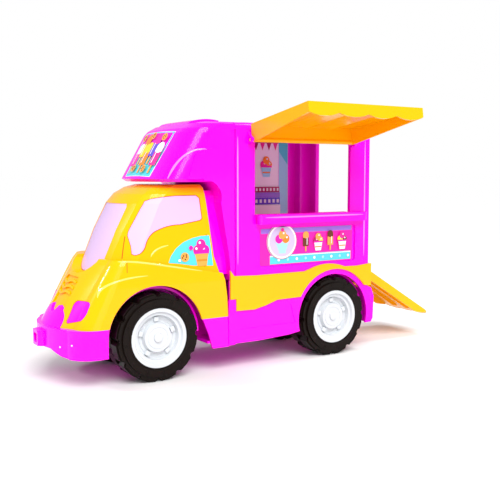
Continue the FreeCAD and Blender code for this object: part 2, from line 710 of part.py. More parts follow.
def build_awning():
    """Awning, fluted underneath, with tapered cheeks, a back on two stub pins and a valance."""
    body = new_body("awning")
    half, length = sheet.awning_half, sheet.awning_length
    wide = half + sheet.awning_flare
    heel_y, heel_z = AWNING_HEEL
    foot = heel_z - HINGE_BAR
    for side in HANDS.values():
        pad(body, "z", [(side * half, -1), (side * (half - 1.8), -1), (side * (wide - 1.8), length - 1),
                        (side * wide, length - 1)], foot, SHEET_TOP)
    pocket(body, "x", [
        (-2, foot), (heel_y + 2, foot), (length, CHEEK_LOW), (length, foot - 1), (-2, foot - 1),
    ], -wide - 1, wide + 1)
    awning_sheet(body, SHEET_TOP, SHEET_LOW, FLUTE_HIGH, -1.0, length - 1.0)
    awning_sheet(body, SHEET_TOP, VALANCE_CUSP, VALANCE_LOW, length - 2.0, length)
    for side in HANDS.values():
        pocket(body, "z", [(side * half, -1), (side * wide, length - 1), (side * wide, length + 1),
                           (side * (wide + 1), length + 1), (side * (wide + 1), -2), (side * half, -2)],
               foot - 1, SHEET_TOP + 1)
    back = [(-1, SHEET_TOP), (heel_y - 2, heel_z), (heel_y + 1, heel_z), (1.2, SHEET_TOP)]
    pad(body, "x", back, -half, half)
    pad(body, "x", circle(HINGE_BAR, heel_y, heel_z), -half, half)
    pad(body, "x", circle(PIN, heel_y, heel_z), -half - EAR_GAP - EAR + 0.5, half + EAR_GAP + EAR - 0.5)
    body.Placement = Placement(
        Vector(AWNING_X, *AWNING_PIVOT), Rotation(Vector(1, 0, 0), sheet.awning_angle)
    ).multiply(Placement(Vector(0, -heel_y, -heel_z), Rotation()))


build_awning_rail()
build_awning()

# --------------------------------------------------------------------------- ramp
RAIL_DEPTH = 7.5
TREADS = 9


def build_ramp():
    """Ramp with a lobed tip, ridges to walk on, side rails and ribs underneath."""
    body = new_body("ramp")
    reach, half = sheet.ramp_length, sheet.ramp_half
    third = half / 3.0
    pad(body, "z", [
        (-1.0, -half), (-1.0, half), (-reach + 9, half), (-reach + 3, half - 3, -reach + 2, half - 8),
        (-reach - 0.0, third * 1.6, -reach + 2.5, third * 0.8), (-reach, 0, -reach + 2.5, -third * 0.8),
        (-reach - 0.0, -third * 1.6, -reach + 2, -half + 8), (-reach + 3, -half + 3, -reach + 9, -half),
    ], -1.2, 1.2)
    for side in HANDS.values():
        pad(body, "y", [(-2, 1.6), (-reach + 9, 1.6), (-reach + 9, -2.5), (-reach + 22, -RAIL_DEPTH),
                        (-14, -RAIL_DEPTH), (-3.5, -1.5)], *span(side, half - 2, half))
        pad(body, "y", [(-12, -1.0), (-reach + 10, -1.0), (-reach + 16, -4), (-16, -4)],
            *span(side, 10.5, 12.2))
    for index in range(TREADS):
        x = -16.0 - index * 12.0
        pad(body, "z", box_path(x - 1.2, -half + 6, x + 1.2, half - 6), 1.0, 1.8)
    pad(body, "y", circle(HINGE_BAR), -half, half)
    pad(body, "y", circle(PIN), -half - EAR_GAP - 2.5, half + EAR_GAP + 2.5)
    body.Placement = Placement(
        Vector(RAMP_PIVOT[0], 0, RAMP_PIVOT[1]), Rotation(Vector(0, 1, 0), -sheet.ramp_angle))


build_ramp()

# --------------------------------------------------------------------------- place and write
doc.recompute()
bad = [o.Label for o in doc.Objects if "Invalid" in o.State or "Error" in o.State]
bad += [n.Label for n in nodes if n.Shape.isNull() or not n.Shape.isValid()]
if bad:
    raise SystemExit(f"failed objects: {bad}")

tilt = math.radians(sheet.ramp_angle)
back_x = RAMP_PIVOT[0] - sheet.ramp_length * math.cos(tilt) - 1.2 * math.sin(tilt)
tilt = math.radians(sheet.awning_angle)
out, down = sheet.awning_length - AWNING_HEEL[0], VALANCE_LOW - AWNING_HEEL[1]
left_y = AWNING_PIVOT[0] + out * math.cos(tilt) - down * math.sin(tilt)
shift = Vector(-(BUMPER_FRONT + back_x) / 2.0, -(left_y - sheet.half_width) / 2.0, 0)
for node in nodes:
    node.Placement = Placement(shift, Rotation()).multiply(node.Placement)
doc.recompute()

os.makedirs("parts", exist_ok=True)
for node in nodes:
    if len(node.Shape.Solids) != 1:
        print(f"{node.Label} has {len(node.Shape.Solids)} solids")
    node.Shape.exportStep(f"parts/{node.Label}.step")
print(f"{len(nodes)} nodes, origin moved by {shift}")
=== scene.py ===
"""Looks for the toy ice cream truck: moulded plastics, printed panels, lights and camera."""

import logging
import math
from dataclasses import dataclass, field
from enum import Enum
from typing import ClassVar, Dict, List, Optional, Sequence, Tuple, Union

import bmesh
import bpy
from mathutils import Matrix, Vector
from mathutils.bvhtree import BVHTree
from mathutils.geometry import interpolate_bezier


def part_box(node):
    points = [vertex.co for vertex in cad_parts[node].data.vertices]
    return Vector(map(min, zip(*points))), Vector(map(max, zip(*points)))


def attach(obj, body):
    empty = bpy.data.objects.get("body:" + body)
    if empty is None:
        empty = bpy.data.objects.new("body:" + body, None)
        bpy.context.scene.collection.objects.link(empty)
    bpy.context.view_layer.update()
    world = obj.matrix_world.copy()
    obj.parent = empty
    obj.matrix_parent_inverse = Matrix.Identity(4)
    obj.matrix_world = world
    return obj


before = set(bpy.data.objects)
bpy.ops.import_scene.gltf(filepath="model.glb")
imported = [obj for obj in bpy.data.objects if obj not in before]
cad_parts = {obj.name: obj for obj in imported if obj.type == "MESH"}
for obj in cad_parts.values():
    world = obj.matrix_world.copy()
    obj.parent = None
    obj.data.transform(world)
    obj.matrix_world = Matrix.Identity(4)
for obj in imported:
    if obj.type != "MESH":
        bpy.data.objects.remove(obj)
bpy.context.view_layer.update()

LOG = logging.getLogger("ice_cream_truck")
MM = 0.001
HANDS = (("left", 1), ("right", -1))  # the serving side is the left one
Point = Tuple[float, float]
Triple = Tuple[float, float, float]
Ring = Tuple[float, float, float, int]  # radius, half the thickness, height and steps round
Value = Union[float, bpy.types.NodeSocket]


# ---------------- layout
@dataclass(frozen=True)
class Layout:
    """Where the truck's own drawing stands in the shared frame.

    Attributes:
        axle_x: The front axle, in metres.
        middle_y: The centre plane.
    """

    axle_x: float
    middle_y: float

    @classmethod
    def read(cls) -> "Layout":
        """Find the front axle and the centre plane from the frame's own pieces.

        Returns:
            The layout.
        """
        axle_low, axle_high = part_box("axle_front")
        floor_low, floor_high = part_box("cargo_floor")
        return cls((axle_low.x + axle_high.x) / 2, (floor_low.y + floor_high.y) / 2)

    def at(self, x: float, y: float, z: float) -> Vector:
        """Turn millimetres from the front axle, centre plane and ground into the frame.

        Args:
            x: Forward of the front axle.
            y: To the serving side of the centre plane.
            z: Above the ground.

        Returns:
            The point in metres.
        """
        return Vector((self.axle_x + x * MM, self.middle_y + y * MM, z * MM))


class Body(Enum):
    """Bodies of the truck that carry the added pieces."""

    TRUCK = "body"
    FRONT_WHEELS = "front_wheels"
    REAR_WHEELS = "rear_wheels"


# ---------------- finishes
# Marks of moulding, in cells per metre, and how deep a sink mark is beside the orange peel.
FLOW_CELLS, SMUDGE_CELLS, SINK_CELLS = 18.0, 70.0, 35.0
SINK_DEPTH = 1.2
MIDDLE = 0.5  # the mean of a noise


class NodeGroupBuilder:
    """Small helper that fills a shader node group."""

    def __init__(self, name: str) -> None:
        """Start an empty group.

        Args:
            name: Name of the group.
        """
        self.tree = bpy.data.node_groups.new(name, "ShaderNodeTree")
        self.entry = self.tree.nodes.new("NodeGroupInput")
        self.exit = self.tree.nodes.new("NodeGroupOutput")

    def socket(self, name: str, kind: str, into: bool, value: Optional[float] = None) -> None:
        """Add one input or output.

        Args:
            name: Socket name.
            kind: Socket type.
            into: True for an input.
            value: Default of an input.
        """
        made = self.tree.interface.new_socket(
            name=name, in_out="INPUT" if into else "OUTPUT", socket_type=kind)
        if value is not None:
            made.default_value = value

    def node(self, kind: str, **settings: object) -> bpy.types.Node:
        """Add a node.

        Args:
            kind: Its type.
            **settings: Its properties.

        Returns:
            The node.
        """
        made = self.tree.nodes.new(kind)
        for name, value in settings.items():
            setattr(made, name, value)
        return made

    def link(self, source: bpy.types.NodeSocket, target: bpy.types.NodeSocket) -> None:
        """Join two sockets."""
        self.tree.links.new(source, target)

    def noise(self, scale: Value, detail: float, vector: bpy.types.NodeSocket) -> bpy.types.Node:
        """Add a noise texture.

        Args:
            scale: A number, or the socket that gives it.
            detail: Levels of detail.
            vector: Socket with the coordinates.

        Returns:
            The noise node.
        """
        made = self.node("ShaderNodeTexNoise")
        made.inputs["Detail"].default_value = detail
        if isinstance(scale, (int, float)):
            made.inputs["Scale"].default_value = scale
        else:
            self.link(scale, made.inputs["Scale"])
        self.link(vector, made.inputs["Vector"])
        return made

    def math(self, operation: str, first: Value, second: Value) -> bpy.types.NodeSocket:
        """Add a math node.

        Args:
            operation: What it does.
            first: A number, or the socket that gives it.
            second: Another.

        Returns:
            The socket with the result.
        """
        made = self.node("ShaderNodeMath", operation=operation)
        for index, value in enumerate((first, second)):
            if isinstance(value, (int, float)):
                made.inputs[index].default_value = value
            else:
                self.link(value, made.inputs[index])
        return made.outputs[0]


def build_moulded_skin() -> bpy.types.NodeTree:
    """Surface of moulded plastic: faint flow marks, orange peel and handling smudges.

    Returns:
        The node group, with Colour, Roughness and Height outputs.
    """
    group = NodeGroupBuilder("moulded_skin")
    for name, kind, value in (
        ("Position", "NodeSocketVector", None), ("Colour", "NodeSocketColor", None),
        ("Flow", "NodeSocketFloat", 0.04), ("Roughness", "NodeSocketFloat", 0.2),
        ("Smudge", "NodeSocketFloat", 0.06), ("Peel scale", "NodeSocketFloat", 700.0),
        ("Peel depth", "NodeSocketFloat", 0.25),
    ):
        group.socket(name, kind, True, value)
    for name, kind in (("Colour", "NodeSocketColor"), ("Roughness", "NodeSocketFloat"),
                       ("Height", "NodeSocketFloat")):
        group.socket(name, kind, False)
    entry = group.entry.outputs
    flow = group.noise(FLOW_CELLS, 2.0, entry["Position"])
    flow_swing = group.math("MULTIPLY", group.math("SUBTRACT", flow.outputs["Fac"], MIDDLE), entry["Flow"])
    shade = group.node("ShaderNodeVectorMath", operation="SCALE")
    group.link(entry["Colour"], shade.inputs[0])
    group.link(group.math("ADD", flow_swing, 1.0), shade.inputs["Scale"])
    group.link(shade.outputs[0], group.exit.inputs["Colour"])
    smudge = group.noise(SMUDGE_CELLS, 5.0, entry["Position"])
    smudge_swing = group.math("MULTIPLY", group.math("SUBTRACT", smudge.outputs["Fac"], MIDDLE),
                              entry["Smudge"])
    group.link(group.math("ADD", smudge_swing, entry["Roughness"]), group.exit.inputs["Roughness"])
    peel = group.noise(entry["Peel scale"], 2.0, entry["Position"])
    sink = group.noise(SINK_CELLS, 1.0, entry["Position"])
    fine = group.math("MULTIPLY", peel.outputs["Fac"], entry["Peel depth"])
    group.link(group.math("ADD", fine, group.math("MULTIPLY", sink.outputs["Fac"], SINK_DEPTH)),
               group.exit.inputs["Height"])
    return group.tree


@dataclass(frozen=True)
class Surface:
    """A moulded plastic, a printed film or bare steel.

    Attributes:
        name: Material name.
        colour: Linear base colour.
        roughness: Mean roughness.
        coat: Weight of the glossy skin.
        specular: Strength of the plain reflection.
        peel_scale: Orange peel cells per metre.
        peel: Depth of the orange peel.
        bump: Strength of the bump.
        metallic: 1 for bare metal.
    """

    name: str
    colour: Triple
    roughness: float = 0.24
    coat: float = 0.5
    specular: float = 0.5
    peel_scale: float = 600.0
    peel: float = 0.2
    bump: float = 0.12
    metallic: float = 0.0

    BUMP_DISTANCE: ClassVar[float] = 0.4 * MM
    COAT_ROUGHNESS: ClassVar[float] = 0.06
    REFRACTION: ClassVar[float] = 1.5

    def material(self, skin: bpy.types.NodeTree) -> bpy.types.Material:
        """Build the material around the shared skin group.

        Args:
            skin: The moulded_skin group.

        Returns:
            The material.
        """
        found = bpy.data.materials.get(self.name)
        if found is not None:
            return found
        made = bpy.data.materials.new(self.name)
        made.use_nodes = True
        nodes, links = made.node_tree.nodes, made.node_tree.links
        shader = nodes["Principled BSDF"]
        place = nodes.new("ShaderNodeTexCoord")
        group = nodes.new("ShaderNodeGroup")
        group.node_tree = skin
        group.inputs["Colour"].default_value = (*self.colour, 1.0)
        group.inputs["Roughness"].default_value = self.roughness
        group.inputs["Peel scale"].default_value = self.peel_scale
        group.inputs["Peel depth"].default_value = self.peel
        links.new(place.outputs["Object"], group.inputs["Position"])
        links.new(group.outputs["Colour"], shader.inputs["Base Color"])
        links.new(group.outputs["Roughness"], shader.inputs["Roughness"])
        bump = nodes.new("ShaderNodeBump")
        bump.inputs["Strength"].default_value = self.bump
        bump.inputs["Distance"].default_value = self.BUMP_DISTANCE
        links.new(group.outputs["Height"], bump.inputs["Height"])
        links.new(bump.outputs["Normal"], shader.inputs["Normal"])
        shader.inputs["Metallic"].default_value = self.metallic
        shader.inputs["Coat Weight"].default_value = self.coat
        shader.inputs["Coat Roughness"].default_value = self.COAT_ROUGHNESS
        shader.inputs["IOR"].default_value = self.REFRACTION
        shader.inputs["Specular IOR Level"].default_value = self.specular
        made.diffuse_color = (*self.colour, 1.0)
        return made


def ink(name: str, colour: Triple) -> Surface:
    """A satin printing ink.

    Args:
        name: Its name, without the common start.
        colour: Linear colour.

    Returns:
        The finish.
    """
    return Surface(f"print_{name}", colour, 0.3, 0.3, 0.2)


class Finish(Enum):
    """Every finish on the truck."""

    MAGENTA = Surface("magenta_moulding", (0.95, 0.0, 0.70), 0.22, 0.3, 0.1)
    YELLOW = Surface("yellow_moulding", (1.0, 0.44, 0.0), 0.22, 0.3, 0.1)
    # Lighter tones of the two plastics for the crease beads: a painted highlight along each bead.
    MAGENTA_PAINTED_HIGHLIGHT = Surface("magenta_painted_highlight", (1.0, 0.20, 0.85), 0.15, 0.6)
    YELLOW_PAINTED_HIGHLIGHT = Surface("yellow_painted_highlight", (1.0, 0.66, 0.12), 0.15, 0.6)
    WHITE = Surface("white_moulding", (0.60, 0.63, 0.66), 0.26, 0.3)
    LILAC = Surface("lilac_window", (0.62, 0.44, 0.70), 0.35, 0.0, 0.2, peel=0.05)
    PINK = Surface("pink_window", (0.80, 0.44, 0.76), 0.35, 0.0, 0.2, peel=0.05)
    # Dark lines laid on the mouldings: painted shadow inside the panes' edges and along the door and pillar
    # lines.
    PAINTED_SEAM_SHADOW = Surface("seam_shadow", (0.40, 0.06, 0.01), 0.5, 0.0, 0.1)
    TYRE = Surface("tyre_moulding", (0.006, 0.003, 0.002), 0.30, 0.0, 0.14, peel_scale=450.0,
                   peel=0.4, bump=0.2)
    STEEL = Surface("axle_steel", (0.55, 0.55, 0.57), 0.3, 0.0, metallic=1.0)
    PRINT_AQUA = ink("aqua", (0.09, 0.60, 0.70))
    PRINT_SKY = ink("sky", (0.36, 0.72, 0.90))
    PRINT_WHITE = ink("white", (0.90, 0.86, 0.90))
    PRINT_PALE = ink("pale", (0.96, 0.86, 0.95))
    PRINT_ROSE = ink("rose", (0.86, 0.02, 0.30))
    PRINT_BERRY = ink("berry", (0.42, 0.01, 0.12))
    PRINT_PINK = ink("pink", (0.90, 0.01, 0.40))
    PRINT_VIOLET = ink("violet", (0.13, 0.07, 0.62))
    PRINT_LAVENDER = ink("lavender", (0.32, 0.16, 0.68))
    PRINT_MAUVE = ink("mauve", (0.58, 0.50, 0.72))
    PRINT_WAFFLE = ink("waffle", (0.83, 0.36, 0.07))
    PRINT_ORANGE = ink("orange", (0.95, 0.24, 0.02))
    PRINT_COCOA = ink("cocoa", (0.14, 0.035, 0.012))
    PRINT_LEMON = ink("lemon", (0.95, 0.66, 0.02))


class Paintbox:
    """Gives each finish its material, made once."""

    def __init__(self) -> None:
        """Build the shared skin group."""
        self.skin = build_moulded_skin()

    def material(self, finish: Finish) -> bpy.types.Material:
        """The material of a finish."""
        return finish.value.material(self.skin)

    def dress(self, node: str, finish: Finish) -> None:
        """Give a node of the frame its finish in every material slot.

        Args:
            node: Name of the node.
            finish: Its finish.
        """
        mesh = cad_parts[node].data
        if not mesh.materials:
            mesh.materials.append(self.material(finish))
        for index in range(len(mesh.materials)):
            mesh.materials[index] = self.material(finish)


# ---------------- mesh helpers
CORNER = 1.0  # edges that turn by more than this, in radians, are corners
HARD_ANGLE = 0.6  # edges that turn by more than this aren't shaded smooth
FILM_ANGLE = 0.3  # the same on printed films
ROUND_ANGLE = 1.4  # the same on forms that are round all over
WELD = 1e-6  # vertices closer than this, in metres, are one
RAY_START = 30 * MM  # how far outside a surface the search for it starts


def link_object(name: str, data: bpy.types.ID) -> bpy.types.Object:
    """Make an object and put it in the scene.

    Args:
        name: Name of the object.
        data: Its mesh, light or camera.

    Returns:
        The object.
    """
    made = bpy.data.objects.new(name, data)
    bpy.context.scene.collection.objects.link(made)
    return made


def edges_at(verts: Sequence[bmesh.types.BMVert]) -> List[bmesh.types.BMEdge]:
    """The edges that meet at some vertices, each once and in order."""
    return list(dict.fromkeys(edge for vert in verts for edge in vert.link_edges))


def faces_at(verts: Sequence[bmesh.types.BMVert]) -> List[bmesh.types.BMFace]:
    """The faces that meet at some vertices, each once and in order."""
    return list(dict.fromkeys(face for vert in verts for face in vert.link_faces))


def soften(bm: bmesh.types.BMesh, edges: Sequence[bmesh.types.BMEdge], width: float,
           segments: int = 2) -> None:
    """Round some edges.

    Args:
        bm: The mesh.
        edges: The edges.
        width: How far the rounding reaches, in the mesh's own units.
        segments: Faces across it.
    """
    bmesh.ops.bevel(bm, geom=edges, offset=width, offset_type="OFFSET", segments=segments, profile=0.5,
                    affect="EDGES", material=-1)


def soft_block(bm: bmesh.types.BMesh, place: Matrix, size: Sequence[float], width: float,
               segments: int = 2) -> None:
    """Add a block with softened edges.

    Args:
        bm: The mesh.
        place: Where it goes.
        size: Its length, width and height.
        width: How far the rounding reaches.
        segments: Faces across the rounding.
    """
    made = bmesh.ops.create_cube(bm, size=1.0, matrix=place @ Matrix.Diagonal((*size, 1)))
    soften(bm, edges_at(made["verts"]), width, segments)


def soft_cone(bm: bmesh.types.BMesh, place: Matrix, radii: Tuple[float, float], depth: float, sides: int,
              width: float) -> None:
    """Add a capped cone or cylinder with softened rims.

    Args:
        bm: The mesh.
        place: Where it goes, its axis along Z.
        radii: Below and above.
        depth: Its height.
        sides: Flats around it.
        width: How far the rounding reaches.
    """
    made = bmesh.ops.create_cone(bm, cap_ends=True, segments=sides, radius1=radii[0], radius2=radii[1],
                                 depth=depth, matrix=place)
    soften(bm, [e for e in edges_at(made["verts"]) if e.calc_face_angle(0.0) > CORNER], width)


def finish_object(bm: bmesh.types.BMesh, name: str, body: Body,
                  materials: Sequence[bpy.types.Material], smooth: float = HARD_ANGLE) -> None:
    """Turn a bmesh into a piece that rides on a body.

    Args:
        bm: The mesh, in the frame; it is freed.
        name: Name of the piece.
        body: The body it rides on.
        materials: Its materials, in the order of its faces' indices.
        smooth: Edges that turn by less than this angle are shaded smooth.
    """
    mesh = bpy.data.meshes.new(name)
    for face in bm.faces:
        face.smooth = True
    for edge in bm.edges:
        edge.smooth = len(edge.link_faces) == 2 and edge.calc_face_angle(0.0) < smooth
    bm.to_mesh(mesh)
    bm.free()
    for material in materials:
        mesh.materials.append(material)
    made = link_object(name, mesh)
    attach(made, body.value)
    LOG.info("%s: %d faces", name, len(mesh.polygons))


def follow(bm: bmesh.types.BMesh, node: str, origin: Vector, outward: Vector) -> None:
    """Bend a flat film onto a node's surface, keeping each vertex's height above it.

    Args:
        bm: The film, in the frame.
        node: The node it lies on.
        origin: A point of the film's flat underside.
        outward: Direction away from the surface.
    """
    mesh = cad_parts[node].data
    tree = BVHTree.FromPolygons([v.co for v in mesh.vertices], [p.vertices for p in mesh.polygons])
    for vert in bm.verts:
        height = (vert.co - origin).dot(outward)
        hit = tree.ray_cast(vert.co + outward * RAY_START, -outward)[0]
        if hit is not None:
            vert.co = hit + outward * height


class Artwork:
    """A printed panel: a thin film with flat coloured shapes laid on it.

    Shapes are given in millimetres: u to the right and v up, as seen by someone facing it.
    """

    FILM = 0.25  # thickness of the film
    LAYER = 0.05  # rise of each shape above the one before
    CUTS = [u + 0.5 for u in range(-60, 61, 4)]  # where a film is cut across, so that it can bend

    def __init__(self, paints: Paintbox) -> None:
        """Start an empty panel.

        Args:
            paints: The finishes.
        """
        self.paints = paints
        self.bm = bmesh.new()
        self.finishes: List[Finish] = []
        self.level = 0

    def _index(self, finish: Finish) -> int:
        """Find a finish among the panel's own, where it is added when new.

        Args:
            finish: The finish.

        Returns:
            Its material index.
        """
        if finish not in self.finishes:
            self.finishes.append(finish)
        return self.finishes.index(finish)

    def _settle(self, faces: Sequence[bmesh.types.BMFace], finish: Finish) -> None:
        """Colour new faces and lift them on top of what is already there.

        Args:
            faces: The new faces, still at height zero.
            finish: Their colour.
        """
        self.level += 1
        index = self._index(finish)
        corners = {v for face in faces for v in face.verts}
        for face in faces:
            face.material_index = index
            if face.normal.z < 0:
                face.normal_flip()
        height = self.FILM + self.LAYER * self.level
        bmesh.ops.translate(self.bm, verts=list(corners), vec=(0, 0, height))

    def film(self, corners: Sequence[Point], finish: Finish, rounding: float) -> None:
        """Lay the film itself: a slab with rounded corners.

        Args:
            corners: Its corners, in order.
            finish: Its colour.
            rounding: Radius of the corners.
        """
        verts = [self.bm.verts.new((u, v, 0.0)) for u, v in corners]
        face = self.bm.faces.new(verts)
        face.normal_update()
        if face.normal.z < 0:
            face.normal_flip()
        bmesh.ops.bevel(self.bm, geom=verts, offset=rounding, offset_type="OFFSET", segments=4, profile=0.5,
                        affect="VERTICES", material=-1)
        grown = bmesh.ops.extrude_face_region(self.bm, geom=list(self.bm.faces))
        top = [g for g in grown["geom"] if isinstance(g, bmesh.types.BMVert)]
        bmesh.ops.translate(self.bm, verts=top, vec=(0, 0, self.FILM))
        for face in self.bm.faces:
            face.material_index = self._index(finish)
        bmesh.ops.recalc_face_normals(self.bm, faces=list(self.bm.faces))

    def shape(self, corners: Sequence[Point], finish: Finish) -> None:
        """Lay a flat shape.

        Args:
            corners: Its corners, in order.
            finish: Its colour.
        """
        verts = [self.bm.verts.new((u, v, 0.0)) for u, v in corners]
        face = self.bm.faces.new(verts)
        face.normal_update()
        self._settle([face], finish)

    def bar(self, u: float, v: float, width: float, height: float, finish: Finish) -> None:
        """Lay a rectangle.

        Args:
            u: Its middle.
            v: Its middle.
            width: Its size along u.
            height: Its size along v.
            finish: Its colour.
        """
        place = Matrix.Translation((u, v, 0)) @ Matrix.Diagonal((width, height, 1, 1))
        made = bmesh.ops.create_grid(self.bm, x_segments=1, y_segments=1, size=0.5, matrix=place)
        self._settle(faces_at(made["verts"]), finish)

    def disc(self, u: float, v: float, radius: float, finish: Finish, sides: int = 28) -> None:
        """Lay a disc.

        Args:
            u: Its middle.
            v: Its middle.
            radius: Its radius.
            finish: Its colour.
            sides: Straight edges around it.
        """
        made = bmesh.ops.create_circle(self.bm, cap_ends=True, segments=sides, radius=radius,
                                       matrix=Matrix.Translation((u, v, 0)))
        self._settle(faces_at(made["verts"]), finish)

    def place(self, name: str, matrix: Matrix, onto: str = "") -> None:
        """Move the panel onto the truck and finish it.

        Args:
            name: Name of the piece.
            matrix: From panel millimetres to the frame.
            onto: A node whose surface the film follows.
        """
        if onto:
            for u in self.CUTS:
                every = list(self.bm.verts) + list(self.bm.edges) + list(self.bm.faces)
                bmesh.ops.bisect_plane(self.bm, geom=every, plane_co=(u, 0, 0), plane_no=(1, 0, 0))
        bmesh.ops.transform(self.bm, matrix=matrix, verts=list(self.bm.verts))
        if onto:
            follow(self.bm, onto, matrix.translation, (matrix.to_3x3() @ Vector((0, 0, 1))).normalized())
        materials = [self.paints.material(finish) for finish in self.finishes]
        finish_object(self.bm, name, Body.TRUCK, materials, FILM_ANGLE)


def facing(origin: Vector, right: Sequence[float], up: Sequence[float]) -> Matrix:
    """Matrix from a panel's own millimetres to the frame.

    Args:
        origin: Where its zero point goes.
        right: Direction of u in the frame.
        up: Direction of v in the frame.

    Returns:
        The matrix, scaling millimetres to metres.
    """
    u, v = Vector(right).normalized(), Vector(up).normalized()
    w = u.cross(v)
    turn = Matrix((u, v, w)).transposed().to_4x4()
    return Matrix.Translation(origin) @ turn @ Matrix.Scale(MM, 4)


# ---------------- printed motifs
class Motifs:
    """Small plain drawings used on the printed panels."""

    @staticmethod
    def cup(art: Artwork, u: float, v: float, size: float, scoops: Sequence[Finish],
            cup: Finish = Finish.PRINT_WHITE) -> None:
        """A paper cup with a heap of scoops.

        Args:
            art: The panel.
            u: Middle of the cup.
            v: Foot of the cup.
            size: Height of the cup.
            scoops: Colours of the scoops, from the left and then the top.
            cup: Colour of the cup.
        """
        places = [(-0.28, 1.1), (0.28, 1.1), (0.0, 1.5)]
        for finish, (du, dv) in zip(scoops, places):
            art.disc(u + du * size, v + dv * size, 0.36 * size, finish)
            art.disc(u + (du - 0.1) * size, v + (dv + 0.12) * size, 0.09 * size, Finish.PRINT_WHITE)
        art.shape([(u - 0.36 * size, v), (u + 0.36 * size, v), (u + 0.56 * size, v + size),
                   (u - 0.56 * size, v + size)], cup)
        art.bar(u, v + 0.93 * size, 1.2 * size, 0.16 * size, Finish.PRINT_PINK)
        art.bar(u, v + 0.4 * size, 0.8 * size, 0.12 * size, Finish.PRINT_ORANGE)

    @staticmethod
    def lolly(art: Artwork, u: float, v: float, size: float, finish: Finish, tip: Finish) -> None:
        """An ice lolly on a stick.

        Args:
            art: The panel.
            u: Foot of the stick.
            v: Foot of the stick.
            size: Height of the lolly, divided by 1.4.
            finish: Colour of the ice.
            tip: Colour of its top.
        """
        art.bar(u, v + 0.2 * size, 0.12 * size, 0.4 * size, Finish.PRINT_WAFFLE)
        art.bar(u, v + 0.75 * size, 0.5 * size, 0.8 * size, finish)
        art.disc(u, v + 1.15 * size, 0.25 * size, tip)
        art.bar(u, v + 1.05 * size, 0.5 * size, 0.2 * size, tip)
        art.bar(u - 0.1 * size, v + 0.7 * size, 0.06 * size, 0.5 * size, Finish.PRINT_WHITE)

    @staticmethod
    def biscuit(art: Artwork, u: float, v: float, size: float) -> None:
        """A round biscuit with a few drops on it.

        Args:
            art: The panel.
            u: Middle of the biscuit.
            v: Middle of the biscuit.
            size: Its diameter.
        """
        art.disc(u, v, 0.5 * size, Finish.PRINT_WAFFLE)
        for step in range(5):
            angle = step * 2.4
            reach = 0.3 * size * (0.6 + 0.1 * step)
            art.disc(u + reach * math.cos(angle), v + reach * math.sin(angle), 0.09 * size,
                     Finish.PRINT_COCOA, sides=10)

    @staticmethod
    def bunting(art: Artwork, left: float, right: float, v: float, drop: float,
                colours: Sequence[Finish]) -> None:
        """A row of small flags hanging from a line.

        Args:
            art: The panel.
            left: Start of the line.
            right: End of the line.
            v: Height of the line.
            drop: Length of a flag.
            colours: Colours of the flags, from the left.
        """
        count = len(colours)
        pitch = (right - left) / count
        art.bar((left + right) / 2, v, right - left, 0.8, Finish.PRINT_BERRY)
        for index, finish in enumerate(colours):
            start = left + pitch * (index + 0.12)
            end = left + pitch * (index + 0.88)
            art.shape([(start, v), ((start + end) / 2, v - drop), (end, v)], finish)

    @staticmethod
    def tiles(art: Artwork, left: float, right: float, v: float, height: float, ground: Finish,
              spot: Finish, count: int) -> None:
        """A band with a row of small tiles.

        Args:
            art: The panel.
            left: Start of the band.
            right: End of the band.
            v: Middle of its height.
            height: Height of the band.
            ground: Colour of the band.
            spot: Colour of the tiles.
            count: How many tiles.
        """
        art.bar((left + right) / 2, v, right - left, height, ground)
        pitch = (right - left) / count
        for index in range(count):
            art.bar(left + pitch * (index + 0.5), v, pitch * 0.5, height * 0.5, spot)


# ---------------- sub-assemblies
@dataclass
class Mouldings:
    """Gives the frame's own nodes their finishes.

    Attributes:
        paints: The finishes.
        finishes: A finish for each start of a node's name.
    """

    paints: Paintbox
    finishes: Dict[str, Finish] = field(default_factory=lambda: {
        "cab_shell": Finish.YELLOW, "lower_trim": Finish.YELLOW, "rear_trim": Finish.YELLOW,
        "awning_rail": Finish.MAGENTA, "awning": Finish.YELLOW, "ramp": Finish.YELLOW,
        "nose_grille": Finish.YELLOW, "windshield": Finish.LILAC, "side_window": Finish.PINK,
        "tyre": Finish.TYRE, "hub": Finish.WHITE, "axle": Finish.STEEL,
    })

    def dress(self) -> None:
        """Dress every node by the start of its name; the rest is magenta."""
        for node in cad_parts:
            matches = [f for start, f in self.finishes.items() if node.startswith(start)]
            self.paints.dress(node, matches[0] if matches else Finish.MAGENTA)


